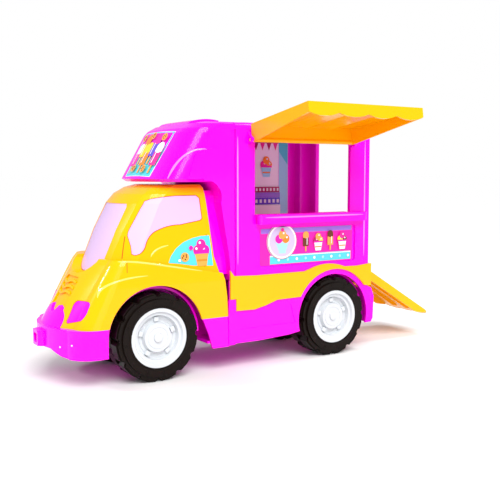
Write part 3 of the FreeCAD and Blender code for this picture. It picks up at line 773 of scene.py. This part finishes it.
@dataclass
class PrintedPanels:
    """Stickers outside and inside.

    Attributes:
        layout: Places in the frame.
        paints: The finishes.
        wall_outer: Recessed panel of the serving side, in millimetres from the centre plane.
        wall_inner: Inner face of the plain side.
        counter_foot: Zero point of the panel below the counter, x and z.
        wall_foot: The same of the panel on the plain side.
        strip_foot: The same of the strip beside that.
        sign: Middle of the round sign, x and z.
        sign_radius: Its radius.
        sign_depth: Thickness of its disc.
        sign_middle: Middle of the disc over the recessed panel.
        sign_print: Underside of its print over the recessed panel.
        visor_foot: Zero point of the over-cab's panel.
        visor_slant: Direction up the over-cab's front.
        door_foot: Zero point of the door's panel on the serving side.
        door_lean: How far the doors lean in for each unit of height.
    """

    layout: Layout
    paints: Paintbox
    wall_outer: float = 58.4
    wall_inner: float = -56.0
    counter_foot: Point = (-113.5, 103.0)
    wall_foot: Point = (-215.0, 147.0)
    strip_foot: Point = (-228.5, 147.0)
    sign: Point = (-141.0, 127.2)
    sign_radius: float = 18.6
    sign_depth: float = 1.1
    sign_middle: float = 0.7
    sign_print: float = 1.2
    visor_foot: Triple = (-7.0, 0.0, 191.5)
    visor_slant: Triple = (-26.0, 0.0, 44.5)
    door_foot: Triple = (-13.5, 56.1, 103.8)
    door_lean: float = 0.1116

    def build(self) -> None:
        """Build all the panels."""
        self.counter_front()
        self.round_sign()
        self.visor_front()
        self.far_wall()
        for hand, side in HANDS:
            self.door(hand, side)

    def counter_front(self) -> None:
        """Panel below the counter: magenta with cups and lollies over an aqua band."""
        art = Artwork(self.paints)
        art.film([(-1, 0), (-121, 0), (-121, 38), (-1, 38)], Finish.PRINT_PINK, 2.0)
        art.bar(-61, 35.2, 118, 5.0, Finish.PRINT_LAVENDER)
        art.bar(-66, 5.5, 106, 9.0, Finish.PRINT_AQUA)
        art.bar(-66, 9.0, 106, 0.8, Finish.PRINT_WHITE)
        for index in range(9):
            art.disc(-24 - index * 11.4, 5.2, 1.5, Finish.PRINT_SKY if index % 2 else Finish.PRINT_WHITE)
        Motifs.lolly(art, -58, 12.5, 15, Finish.PRINT_COCOA, Finish.PRINT_WAFFLE)
        Motifs.cup(art, -74, 12.5, 10, [Finish.PRINT_LEMON, Finish.PRINT_BERRY, Finish.PRINT_WAFFLE])
        Motifs.lolly(art, -90, 12.5, 15, Finish.PRINT_WAFFLE, Finish.PRINT_COCOA)
        Motifs.cup(art, -106, 12.5, 10, [Finish.PRINT_COCOA, Finish.PRINT_LEMON, Finish.PRINT_ROSE])
        self._outward(art, self.counter_foot, self.wall_outer, "counter_front_print")

    def _outward(self, art: Artwork, foot: Point, y: float, name: str) -> None:
        """Place an upright panel that faces the serving side although its u runs forward.

        Args:
            art: The panel.
            foot: Where its zero point goes, x and z.
            y: Its underside, from the centre plane.
            name: Name of the piece.
        """
        flip = Matrix.Diagonal((1, 1, -1, 1))
        bmesh.ops.transform(art.bm, matrix=flip, verts=list(art.bm.verts))
        bmesh.ops.reverse_faces(art.bm, faces=list(art.bm.faces))
        art.place(name, facing(self.layout.at(foot[0], y, foot[1]), (1, 0, 0), (0, 0, 1)))

    def round_sign(self) -> None:
        """Round sign in front of the panel, with one big sundae glass."""
        art = Artwork(self.paints)
        for inset, finish in ((0.4, Finish.PRINT_BERRY), (0.9, Finish.PRINT_WHITE),
                              (2.8, Finish.PRINT_MAUVE)):
            art.disc(0, 0, self.sign_radius - inset, finish, sides=64)
        art.shape([(-4, -11), (4, -11), (8.5, 0), (-8.5, 0)], Finish.PRINT_SKY)
        art.bar(0, -11.6, 9, 1.4, Finish.PRINT_SKY)
        for u, v, finish in ((-4.2, 2.6, Finish.PRINT_ORANGE), (4.2, 2.6, Finish.PRINT_PINK),
                             (0, 7.0, Finish.PRINT_WAFFLE)):
            art.disc(u, v, 4.6, finish)
            art.disc(u - 1.4, v + 1.5, 1.1, Finish.PRINT_WHITE)
        art.disc(0, 12.0, 1.9, Finish.PRINT_ROSE)
        self._outward(art, self.sign, self.wall_outer + self.sign_print, "round_sign_print")
        disc = bmesh.new()
        radii = (self.sign_radius, self.sign_radius)
        soft_cone(disc, Matrix.Identity(4), radii, self.sign_depth, 64, 0.3)
        middle = self.layout.at(self.sign[0], self.wall_outer + self.sign_middle, self.sign[1])
        bmesh.ops.transform(disc, matrix=facing(middle, (-1, 0, 0), (0, 0, 1)), verts=list(disc.verts))
        finish_object(disc, "round_sign_disc", Body.TRUCK,
                      [self.paints.material(Finish.WHITE)])

    def visor_front(self) -> None:
        """Panel on the slanted front of the over-cab: aqua with lollies and biscuits."""
        art = Artwork(self.paints)
        art.film([(-29, 1.5), (29, 1.5), (33.5, 53.2), (-33.5, 53.2)], Finish.PRINT_WHITE, 1.2)
        art.shape([(-28.2, 2), (28.2, 2), (32.6, 52.8), (-32.6, 52.8)], Finish.PRINT_AQUA)
        for index, (finish, tip) in enumerate((
            (Finish.PRINT_PINK, Finish.PRINT_WHITE), (Finish.PRINT_LEMON, Finish.PRINT_ORANGE),
            (Finish.PRINT_ORANGE, Finish.PRINT_LEMON), (Finish.PRINT_VIOLET, Finish.PRINT_PINK),
            (Finish.PRINT_ROSE, Finish.PRINT_PALE),
        )):
            Motifs.lolly(art, -23.2 + index * 11.6, 15 if index % 2 else 5, 25, finish, tip)
        for u, v in ((-24, 46), (-12, 10), (-1, 47), (12, 9), (24, 45)):
            Motifs.biscuit(art, u, v, 8.5)
        place = facing(self.layout.at(*self.visor_foot), (0, 1, 0), self.visor_slant)
        art.place("visor_front_print", place, "cargo_front")

    def far_wall(self) -> None:
        """Panel on the inner face of the plain side: bunting over a tiled shelf front."""
        art = Artwork(self.paints)
        art.film([(0, 0), (110, 0), (110, 88), (0, 88)], Finish.PRINT_PALE, 1.0)
        Motifs.bunting(art, 0, 110, 86, 9, [Finish.PRINT_ROSE, Finish.PRINT_BERRY] * 6)
        Motifs.cup(art, 18, 46, 13, [Finish.PRINT_ORANGE, Finish.PRINT_ROSE, Finish.PRINT_ORANGE],
                   Finish.PRINT_SKY)
        Motifs.lolly(art, 40, 43, 20, Finish.PRINT_PINK, Finish.PRINT_ORANGE)
        Motifs.cup(art, 63, 46, 13, [Finish.PRINT_ROSE, Finish.PRINT_ORANGE, Finish.PRINT_PINK],
                   Finish.PRINT_SKY)
        Motifs.lolly(art, 88, 43, 20, Finish.PRINT_ORANGE, Finish.PRINT_PINK)
        Motifs.tiles(art, 0, 110, 31, 6.5, Finish.PRINT_BERRY, Finish.PRINT_WHITE, 22)
        art.bar(55, 24.6, 110, 6.0, Finish.PRINT_LAVENDER)
        Motifs.tiles(art, 0, 110, 17.5, 8.0, Finish.PRINT_VIOLET, Finish.PRINT_WHITE, 18)
        art.bar(55, 6.5, 110, 13, Finish.PRINT_WHITE)
        self._outward(art, self.wall_foot, self.wall_inner, "far_wall_print")
        strip = Artwork(self.paints)
        strip.film([(0, 0), (13, 0), (13, 88), (0, 88)], Finish.PRINT_SKY, 0.5)
        strip.shape([(0, 60), (13, 76), (13, 88), (0, 88)], Finish.PRINT_AQUA)
        self._outward(strip, self.strip_foot, self.wall_inner, "far_wall_strip_print")

    def door(self, hand: str, side: int) -> None:
        """Leaf-shaped panel on the cab door, with a heaped cup.

        Args:
            hand: Name of the side.
            side: 1 for the serving side and -1 for the other.
        """
        art = Artwork(self.paints)
        leaf = [(0, 8.4), (3, 15), (9, 22), (17, 27.5), (27, 31), (36, 32.6), (45.8, 33),
                (47, 20), (48.4, 3), (26, 4.4), (13, 6.8)]
        art.film([(side * u, v) for u, v in leaf], Finish.PRINT_AQUA, 0.6)
        Motifs.cup(art, side * 36, 3.5, 14, [Finish.PRINT_ROSE, Finish.PRINT_PINK, Finish.PRINT_ROSE],
                   Finish.PRINT_WAFFLE)
        Motifs.biscuit(art, side * 17.5, 13, 9)
        art.disc(side * 24.5, 21.5, 2.2, Finish.PRINT_PINK)
        art.disc(side * 11.5, 10, 1.4, Finish.PRINT_WHITE)
        x, y, z = self.door_foot
        place = facing(self.layout.at(x, side * y, z), (-side, 0, 0), (0, -side * self.door_lean, 1))
        art.place(f"door_print_{hand}", place, "cab_shell")


@dataclass
class Detail:
    """Fine relief that rides with the mouldings; its sizes are in millimetres.

    Attributes:
        layout: Places in the frame.
        paints: The finishes.
    """

    layout: Layout
    paints: Paintbox

    # Distance from the centre plane at which flank forms are drawn before they are laid down.
    CLEAR: ClassVar[float] = 66.0

    def piece(self, bm: bmesh.types.BMesh, name: str, slot: str, finish: Finish, body: Body = Body.TRUCK,
              smooth: float = HARD_ANGLE) -> None:
        """Turn a mesh of one finish into a piece."""
        finish_object(bm, name, body, [self.paints.material(finish)], smooth)

    def beside(self, x: float, z: float, side: int, height: float = 0.0) -> Vector:
        """Place beside a flank, ready to be laid down on it."""
        return self.layout.at(x, side * (self.CLEAR + height), z)

    def lay(self, bm: bmesh.types.BMesh, node: str, side: int) -> None:
        """Lay what was drawn beside a flank down on a node."""
        follow(bm, node, self.beside(0, 0, side), Vector((0, side, 0)))


@dataclass
class WheelDetail(Detail):
    """Marks on the tyres' walls and relief on the wheel centres.

    Attributes:
        wheel_dia: Over the tread.
        wheelbase: Between the axles.
        wheel_face: Outer face of the wheels from the centre plane.
        rib: Length, width and height of a tyre's rib.
        rib_place: Its middle, from the axle and over the wheel's face.
        rib_round: Rounding of its edges.
        rib_pairs: How many pairs of ribs go round.
        rib_start: Turn of the first pair, in degrees.
        rib_spread: Half the angle between the ribs of a pair.
        tyre_ring: Radius, half the thickness, height over the wheel's face and steps round.
        hub_rings: The same for the rings on a wheel centre.
        lug: Length, width and height of a lug.
        lug_place: Its middle, from the axle and over the wheel's face.
        lug_round: Rounding of its edges.
        lugs: How many lugs go round.
        lug_start: Turn of the first, in degrees.
        cap_radii: Centre cap, at its root and its end.
        cap_depth: Its thickness.
        cap_height: Its middle over the wheel's face.
        cap_round: Rounding of its rims.
    """

    wheel_dia: float = 85.0
    wheelbase: float = 209.0
    wheel_face: float = 62.0
    rib: Triple = (4.6, 0.42, 0.5)
    rib_place: Point = (34.8, 0.05)
    rib_round: float = 0.12
    rib_pairs: int = 12
    rib_start: float = 8.0
    rib_spread: float = 1.6
    tyre_ring: Ring = (30.2, 0.5, 0.0, 72)
    hub_rings: Sequence[Ring] = ((17.6, 0.55, -7.4, 72), (10.2, 0.5, -3.2, 60))
    lug: Triple = (4.6, 5.0, 3.2)
    lug_place: Point = (17.4, -6.4)
    lug_round: float = 0.7
    lugs: int = 5
    lug_start: float = 20.0
    cap_radii: Point = (4.8, 4.2)
    cap_depth: float = 2.2
    cap_height: float = -2.4
    cap_round: float = 0.5

    def build(self) -> None:
        """Build the forms on all four wheels."""
        for end, x, body in (("front", 0.0, Body.FRONT_WHEELS), ("rear", -self.wheelbase, Body.REAR_WHEELS)):
            for hand, side in HANDS:
                middle = self.layout.at(x, side * self.wheel_face, self.wheel_dia / 2)
                place = facing(middle, (-side, 0, 0), (0, 0, 1))
                self.sidewall(f"{end}_{hand}", place, body)
                self.hub_relief(f"{end}_{hand}", place, body)

    def _block(self, bm: bmesh.types.BMesh, turn: float, place: Point, size: Triple, rounding: float,
               segments: int) -> None:
        """Add a block on a spoke of the wheel.

        Args:
            bm: The mesh.
            turn: Turn of the spoke, in degrees.
            place: Middle of the block, from the axle and over the wheel's face.
            size: Its length, width and height.
            rounding: Rounding of its edges.
            segments: Faces across the rounding.
        """
        spoke = Matrix.Rotation(math.radians(turn), 4, "Z") @ Matrix.Translation((place[0], 0, place[1]))
        soft_block(bm, spoke, size, rounding, segments)

    def sidewall(self, name: str, place: Matrix, body: Body) -> None:
        """Fine ribs in pairs and one raised ring on a tyre's outer wall.

        Args:
            name: Which wheel.
            place: From the wheel's own millimetres to the frame, its third axis outward.
            body: The wheels' body.
        """
        bm = bmesh.new()
        for step in range(self.rib_pairs):
            for offset in (-self.rib_spread, self.rib_spread):
                turn = step * 360 / self.rib_pairs + self.rib_start + offset
                self._block(bm, turn, self.rib_place, self.rib, self.rib_round, 1)
        self._ring(bm, *self.tyre_ring)
        bmesh.ops.transform(bm, matrix=place, verts=list(bm.verts))
        self.piece(bm, f"tyre_marks_{name}", "tyre", Finish.TYRE, body)

    @staticmethod
    def _ring(bm: bmesh.types.BMesh, radius: float, width: float, height: float, steps: int) -> None:
        """Add a half-sunk round ring by spinning a small circle about the third axis.

        Args:
            bm: The mesh.
            radius: Radius of the ring.
            width: Radius of the small circle.
            height: Height of its middle.
            steps: Steps round.
        """
        made = bmesh.ops.create_circle(
            bm, segments=8, radius=width,
            matrix=Matrix.Translation((radius, 0, height)) @ Matrix.Rotation(math.pi / 2, 4, "X"))
        bmesh.ops.spin(bm, geom=made["verts"] + edges_at(made["verts"]), cent=(0, 0, 0), axis=(0, 0, 1),
                       angle=2 * math.pi, steps=steps, use_merge=True, use_duplicate=False)
        bmesh.ops.recalc_face_normals(bm, faces=list(bm.faces))

    def hub_relief(self, name: str, place: Matrix, body: Body) -> None:
        """Rings, short lugs and a centre cap on a hub's dish.

        Args:
            name: Which wheel.
            place: From the wheel's own millimetres to the frame, its third axis outward.
            body: The wheels' body.
        """
        bm = bmesh.new()
        for ring in self.hub_rings:
            self._ring(bm, *ring)
        for step in range(self.lugs):
            turn = step * 360 / self.lugs + self.lug_start
            self._block(bm, turn, self.lug_place, self.lug, self.lug_round, 3)
        soft_cone(bm, Matrix.Translation((0, 0, self.cap_height)), self.cap_radii, self.cap_depth, 48,
                  self.cap_round)
        bmesh.ops.transform(bm, matrix=place, verts=list(bm.verts))
        self.piece(bm, f"hub_relief_{name}", "white_plastic", Finish.WHITE, body)


@dataclass
class CabDetail(Detail):
    """Small white studs on the bumper; painted shadow lines round the panes and along the door and pillar
    lines.

    Attributes:
        studs: Middles of the studs on one side.
        stud_radius: Their radius.
        rim_width: Width of the shadow line inside a pane's edge.
        rim_height: Its height over the pane.
        rim_facing: Cosine at which a face still counts as the pane's outer face.
        rim_flat: Faces that turn by less than this, in degrees, are joined before the line is cut.
        seams: Door and pillar lines, x and z, along which a line of shadow is painted.
        seam_pieces: Short pieces between two points of a line.
        seam_width: Width of a line.
        seam_height: Its height over the cab.
    """

    studs: Sequence[Triple] = ((86.3, 33.3, 39.0), (79.9, 47.0, 42.0))
    stud_radius: float = 0.9
    rim_width: float = 0.65
    rim_height: float = 0.06
    rim_facing: float = 0.35
    rim_flat: float = 0.5
    seams: Sequence[Sequence[Point]] = (
        ((30.2, 106.0), (30.0, 112.0), (29.6, 117.0)),
        ((29.0, 117.6), (26.5, 128.0), (24.0, 138.0)),
        ((-52.5, 106.0), (-54.8, 122.0), (-56.0, 138.0)),
    )
    seam_pieces: int = 6
    seam_width: float = 0.6
    seam_height: float = 0.04

    def build(self) -> None:
        """Build the forms on the cab and the bumper."""
        self.bumper_studs()
        for hand, side in HANDS:
            self.rim_line(f"side_window_{hand}", (0.3, side, 0.0))
            self.rim_line(f"headlight_{hand}", (1, 0.3 * side, 0))
        self.rim_line("windshield", (1, 0, 0.4))
        self.cab_seam_shadows()

    def bumper_studs(self) -> None:
        """Two small pale studs on each corner of the bumper."""
        bm = bmesh.new()
        for _, side in HANDS:
            for x, y, z in self.studs:
                place = Matrix.Translation(self.layout.at(x, side * y, z))
                bmesh.ops.create_uvsphere(bm, u_segments=16, v_segments=10, radius=self.stud_radius * MM,
                                          matrix=place)
        self.piece(bm, "bumper_studs", "white_plastic", Finish.WHITE, smooth=ROUND_ANGLE)

    def rim_line(self, node: str, outward: Sequence[float]) -> None:
        """Shadowed line just inside the edge of a pane.

        Args:
            node: The pane.
            outward: Rough direction its outer face looks in.
        """
        bm = bmesh.new()
        bm.from_mesh(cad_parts[node].data)
        bmesh.ops.remove_doubles(bm, verts=list(bm.verts), dist=WELD)
        away = Vector(outward).normalized()
        hidden = [face for face in bm.faces if face.normal.dot(away) < self.rim_facing]
        bmesh.ops.delete(bm, geom=hidden, context="FACES")
        bmesh.ops.dissolve_limit(bm, angle_limit=math.radians(self.rim_flat), verts=list(bm.verts),
                                 edges=list(bm.edges))
        ring = set(bmesh.ops.inset_region(bm, faces=list(bm.faces), use_boundary=True, use_even_offset=True,
                                          thickness=self.rim_width * MM, depth=0.0)["faces"])
        bmesh.ops.delete(bm, geom=[face for face in bm.faces if face not in ring], context="FACES")
        bmesh.ops.translate(bm, verts=list(bm.verts), vec=away * self.rim_height * MM)
        self.piece(bm, f"{node}_rim", "yellow_plastic", Finish.PAINTED_SEAM_SHADOW)

    def cab_seam_shadows(self) -> None:
        """Fine dark ribbons on both flanks of the cab that paint the shadow of the door and pillar lines."""
        for hand, side in HANDS:
            bm = bmesh.new()
            for line in self.seams:
                for start, end in zip(line, line[1:]):
                    self._ribbon(bm, Vector(start), Vector(end), side)
            bmesh.ops.remove_doubles(bm, verts=list(bm.verts), dist=WELD)
            self.lay(bm, "cab_shell", side)
            bmesh.ops.recalc_face_normals(bm, faces=list(bm.faces))
            self.piece(bm, f"cab_seam_shadows_{hand}", "yellow_plastic", Finish.PAINTED_SEAM_SHADOW)

    def _ribbon(self, bm: bmesh.types.BMesh, start: Vector, end: Vector, side: int) -> None:
        """Add a narrow ribbon beside a flank, in short pieces that can bend with it.

        Args:
            bm: The mesh.
            start: One end, x and z.
            end: The other.
            side: 1 for the serving side, -1 for the other.
        """
        made = bmesh.ops.create_grid(bm, x_segments=self.seam_pieces, y_segments=1, size=0.5)
        for vert in made["verts"]:
            spot = start.lerp(end, vert.co.x + 0.5)
            vert.co = self.beside(spot.x + vert.co.y * self.seam_width, spot.y, side, self.seam_height)


@dataclass
class Creases(Detail):
    """Beads along the creases of the flanks and the counter, coloured in a lighter tone that paints a
    highlight on them.

    Attributes:
        steps: Steps along a bead.
        width: Width of a bead.
        height: Its height.
        sink: How deep its edges are sunk.
        fade: How many times the stretch in which it fades goes into its length.
    """

    steps: int = 36
    width: float = 1.7
    height: float = 0.5
    sink: float = 0.08
    fade: float = 5.0

    # Creases on both flanks: the node, its finish and a curve's two ends and two guides, x and z.
    FLANKS: ClassVar[Dict[str, Tuple[str, Finish, Sequence[Point]]]] = {
        "belt_crease": ("cab_shell", Finish.YELLOW_PAINTED_HIGHLIGHT,
                        ((38, 116.2), (22, 116.8), (8, 113.2), (-50, 102.3))),
        "fender_crease": ("cab_shell", Finish.YELLOW_PAINTED_HIGHLIGHT, ((57.2, 84), (55, 96), (42, 101.6), (8, 102))),
        "door_crease": ("cab_shell", Finish.YELLOW_PAINTED_HIGHLIGHT,
                        ((4.5, 118.5), (2, 124.5), (-5, 127.6), (-15, 128.8))),
        "overcab_crease": ("cargo_front", Finish.MAGENTA_PAINTED_HIGHLIGHT,
                           ((-14, 190.5), (-24, 209), (-34, 221.5), (-53, 219.8))),
    }
    # Beads up both walls: where each stands, and the heights of its two ends and two guides.
    WALLS: ClassVar[Dict[str, float]] = {"front": -87.5, "rear": -250.5}
    WALL_HEIGHTS: ClassVar[Sequence[float]] = (104.5, 150, 190, 234.5)
    COUNTER_EDGE: ClassVar[Sequence[Point]] = [(x, 152.8) for x in (-113, -150, -205, -243)]

    def build(self) -> None:
        """Build all the beads."""
        for name, (node, finish, path) in self.FLANKS.items():
            for hand, side in HANDS:
                self.crease(f"{name}_{hand}", node, finish, path, side)
        for hand, side in HANDS:
            for end, x in self.WALLS.items():
                path = [(x, z) for z in self.WALL_HEIGHTS]
                self.crease(f"wall_crease_{end}_{hand}", f"cargo_side_{hand}", Finish.MAGENTA_PAINTED_HIGHLIGHT, path,
                            side)
        self.crease("counter_crease", "counter", Finish.MAGENTA_PAINTED_HIGHLIGHT, self.COUNTER_EDGE, 1)

    def crease(self, name: str, node: str, finish: Finish, path: Sequence[Point], side: int) -> None:
        """Half-round bead along a curve on a flank, fading out at both ends.

        Args:
            name: Name of the piece.
            node: The node it lies on.
            finish: Its finish, a lighter tone of the plastic that paints the bead's highlight.
            path: Two ends and two guides of the curve, x and z in millimetres.
            side: 1 for the serving side, -1 for the other.
        """
        curve = interpolate_bezier(*[Vector((x, 0, z)) for x, z in path], self.steps + 1)
        bm = bmesh.new()
        bmesh.ops.create_grid(bm, x_segments=self.steps, y_segments=6, size=0.5)
        for vert in bm.verts:
            along, across = vert.co.x + 0.5, 2 * vert.co.y
            index = round(along * self.steps)
            ahead = curve[min(index + 1, self.steps)] - curve[max(index - 1, 0)]
            sideways = ahead.cross(Vector((0, 1, 0))).normalized()
            share = min(1.0, self.fade * min(along, 1 - along)) ** 0.5
            spot = curve[index] + sideways * across * share * self.width / 2
            height = share * self.height * math.sqrt(1 - across * across) - self.sink
            vert.co = self.beside(spot.x, spot.z, side, height)
        self.lay(bm, node, side)
        bm.normal_update()
        inward = [f for f in bm.faces if f.normal.y * side < 0]
        if len(inward) > len(bm.faces) / 2:
            bmesh.ops.reverse_faces(bm, faces=list(bm.faces))
        slot = "yellow_plastic" if finish is Finish.YELLOW_PAINTED_HIGHLIGHT else "magenta_plastic"
        self.piece(bm, name, slot, finish, smooth=ROUND_ANGLE)


@dataclass
class HiddenDetail(Detail):
    """Forms that hardly show: a plate inside the column and the screws of the floor pan.

    Attributes:
        rounding: Rounding of their edges.
        liner: Length, width and height of the plate.
        liner_place: Its middle.
        liner_lean: How far it leans back, in degrees.
        screws: Middles of the screws, x and y.
        screw_height: Their middles above the ground.
        screw_radii: A screw's head, below and above.
        screw_depth: Thickness of the head.
        cross: Length, width and height of the bars that cross on it.
    """

    rounding: float = 0.2
    liner: Triple = (1.2, 111.6, 14.0)
    liner_place: Triple = (-68.9, 0.0, 177.7)
    liner_lean: float = 15.7
    screws: Sequence[Point] = ((-62, 44), (-62, -44), (-146, 44), (-146, -44), (-104, 0))
    screw_height: float = 29.7
    screw_radii: Point = (2.6, 3.0)
    screw_depth: float = 0.9
    cross: Triple = (3.2, 0.6, 0.12)

    def build(self) -> None:
        """Build the plate and the screws."""
        self.column_liner()
        self.pan_screws()

    def _at(self, x: float, y: float, z: float) -> Matrix:
        """Matrix from millimetres around a place to the frame."""
        return Matrix.Translation(self.layout.at(x, y, z)) @ Matrix.Scale(MM, 4)

    def column_liner(self) -> None:
        """Thin plate inside the top of the column, behind the collar."""
        bm = bmesh.new()
        lean = Matrix.Rotation(math.radians(self.liner_lean), 4, "Y")
        soft_block(bm, self._at(*self.liner_place) @ lean, self.liner, self.rounding * MM)
        self.piece(bm, "column_liner", "magenta_plastic", Finish.MAGENTA)

    def pan_screws(self) -> None:
        """Cross-head screws in the floor pan."""
        bm = bmesh.new()
        for x, y in self.screws:
            place = self._at(x, y, self.screw_height)
            soft_cone(bm, place, self.screw_radii, self.screw_depth, 24, self.rounding * MM)
            foot = place @ Matrix.Translation((0, 0, -self.screw_depth / 2))
            for turn in (0, 90):
                bar = foot @ Matrix.Rotation(math.radians(turn), 4, "Z") @ Matrix.Diagonal((*self.cross, 1))
                bmesh.ops.create_cube(bm, size=1.0, matrix=bar)
        self.piece(bm, "pan_screws", "steel", Finish.STEEL)


# ---------------- stage
@dataclass
class Stage:
    """Floor, lights and camera.

    Attributes:
        layout: Places in the frame.
        distance: Camera from the front axle, forward and to the serving side, and its height.
        heading: Angle between the view and the truck's length, in degrees.
        dip: How far the view looks down, in degrees.
        lens: Focal length for a sensor 36 mm wide.
        sun: Strength of the overhead light.
        sun_path: Direction in which it shines.
        sun_spread: Its angle, in degrees; a wide one gives soft shade.
        surround: Strength of the light from all around.
        paper: How pale the floor is.
        paper_size: From the middle of the floor to its edge, in metres.
    """

    layout: Layout
    distance: Triple = (307.0, 707.2, 195.5)
    heading: float = 57.73
    dip: float = 5.604
    lens: float = 55.23
    sun: float = 3.3
    sun_path: Triple = (-0.25, -0.95, -1.0)
    sun_spread: float = 40.0
    surround: float = 0.5
    paper: float = 0.80
    paper_size: float = 60.0

    # Square soft lights: where each hangs, what it points at, its side and its watts.
    AREAS: ClassVar[Dict[str, Tuple[Triple, Triple, float, float]]] = {
        "key_strip": ((1.1, -0.45, 0.75), (0.05, 0, 0.12), 0.16, 4.5),
        "fill": ((0.45, 0.95, 0.25), (-0.14, 0, 0.16), 0.6, 1.6),
        "top_strip": ((-0.6, 0.1, 1.1), (0.05, 0, 0.12), 0.16, 3.5),
    }

    def camera(self) -> None:
        """Stand the camera at the front of the serving side."""
        data = bpy.data.cameras.new("camera")
        data.lens, data.sensor_width = self.lens, 36.0
        data.clip_start, data.clip_end = 0.01, 300.0
        made = link_object("camera", data)
        made.location = self.layout.at(*self.distance)
        turn, dip = math.radians(self.heading), math.radians(self.dip)
        ahead = Vector((-math.cos(turn) * math.cos(dip), -math.sin(turn) * math.cos(dip), -math.sin(dip)))
        made.rotation_euler = ahead.to_track_quat("-Z", "Y").to_euler()
        bpy.context.scene.camera = made

    def floor(self) -> None:
        """Lay a wide pale floor."""
        bm = bmesh.new()
        bmesh.ops.create_grid(bm, x_segments=1, y_segments=1, size=self.paper_size)
        mesh = bpy.data.meshes.new("floor")
        bm.to_mesh(mesh)
        bm.free()
        material = bpy.data.materials.new("floor_paper")
        material.use_nodes = True
        shader = material.node_tree.nodes["Principled BSDF"]
        shader.inputs["Base Color"].default_value = (self.paper, self.paper, self.paper, 1)
        shader.inputs["Roughness"].default_value = 0.9
        shader.inputs["Specular IOR Level"].default_value = 0.0
        mesh.materials.append(material)
        made = link_object("floor", mesh)

    def area(self, name: str, place: Sequence[float], target: Sequence[float], size: float,
             power: float) -> None:
        """Hang a square soft light.

        Args:
            name: Name of the light.
            place: Where it hangs, in metres.
            target: What it points at.
            size: Side of the square.
            power: Watts.
        """
        data = bpy.data.lights.new(name, "AREA")
        data.shape, data.size, data.energy = "SQUARE", size, power
        made = link_object(name, data)
        made.location = place
        made.rotation_euler = (Vector(target) - Vector(place)).to_track_quat("-Z", "Y").to_euler()

    def lights(self) -> None:
        """Soft studio light: a broad overhead sun, a fill and two strips."""
        data = bpy.data.lights.new("overhead", "SUN")
        data.energy, data.angle = self.sun, math.radians(self.sun_spread)
        made = link_object("overhead", data)
        made.rotation_euler = Vector(self.sun_path).to_track_quat("-Z", "Y").to_euler()
        for name, (place, target, size, power) in self.AREAS.items():
            self.area(name, place, target, size, power)

    def backdrop(self) -> None:
        """Pale surround that lights softly and is seen as plain white."""
        world = bpy.data.worlds.new("studio")
        world.use_nodes = True
        nodes, links = world.node_tree.nodes, world.node_tree.links
        around, behind = nodes["Background"], nodes.new("ShaderNodeBackground")
        for shader, strength in ((around, self.surround), (behind, 1.0)):
            shader.inputs["Color"].default_value = (1, 1, 1, 1)
            shader.inputs["Strength"].default_value = strength
        seen = nodes.new("ShaderNodeLightPath")
        mix = nodes.new("ShaderNodeMixShader")
        links.new(seen.outputs["Is Camera Ray"], mix.inputs[0])
        links.new(around.outputs[0], mix.inputs[1])
        links.new(behind.outputs[0], mix.inputs[2])
        links.new(mix.outputs[0], nodes["World Output"].inputs["Surface"])
        bpy.context.scene.world = world

    def build(self) -> None:
        """Build the whole stage."""
        self.camera()
        self.floor()
        self.lights()
        self.backdrop()


def main() -> None:
    """Dress the frame, add the printed panels and set the stage."""
    logging.basicConfig(level=logging.INFO, format="%(name)s %(message)s")
    layout = Layout.read()
    paints = Paintbox()
    Mouldings(paints).dress()
    PrintedPanels(layout, paints).build()
    for detail in (WheelDetail, CabDetail, Creases, HiddenDetail):
        detail(layout, paints).build()
    Stage(layout).build()
    bpy.context.scene.view_settings.view_transform = "Standard"


if __name__ == "__main__":
    main()
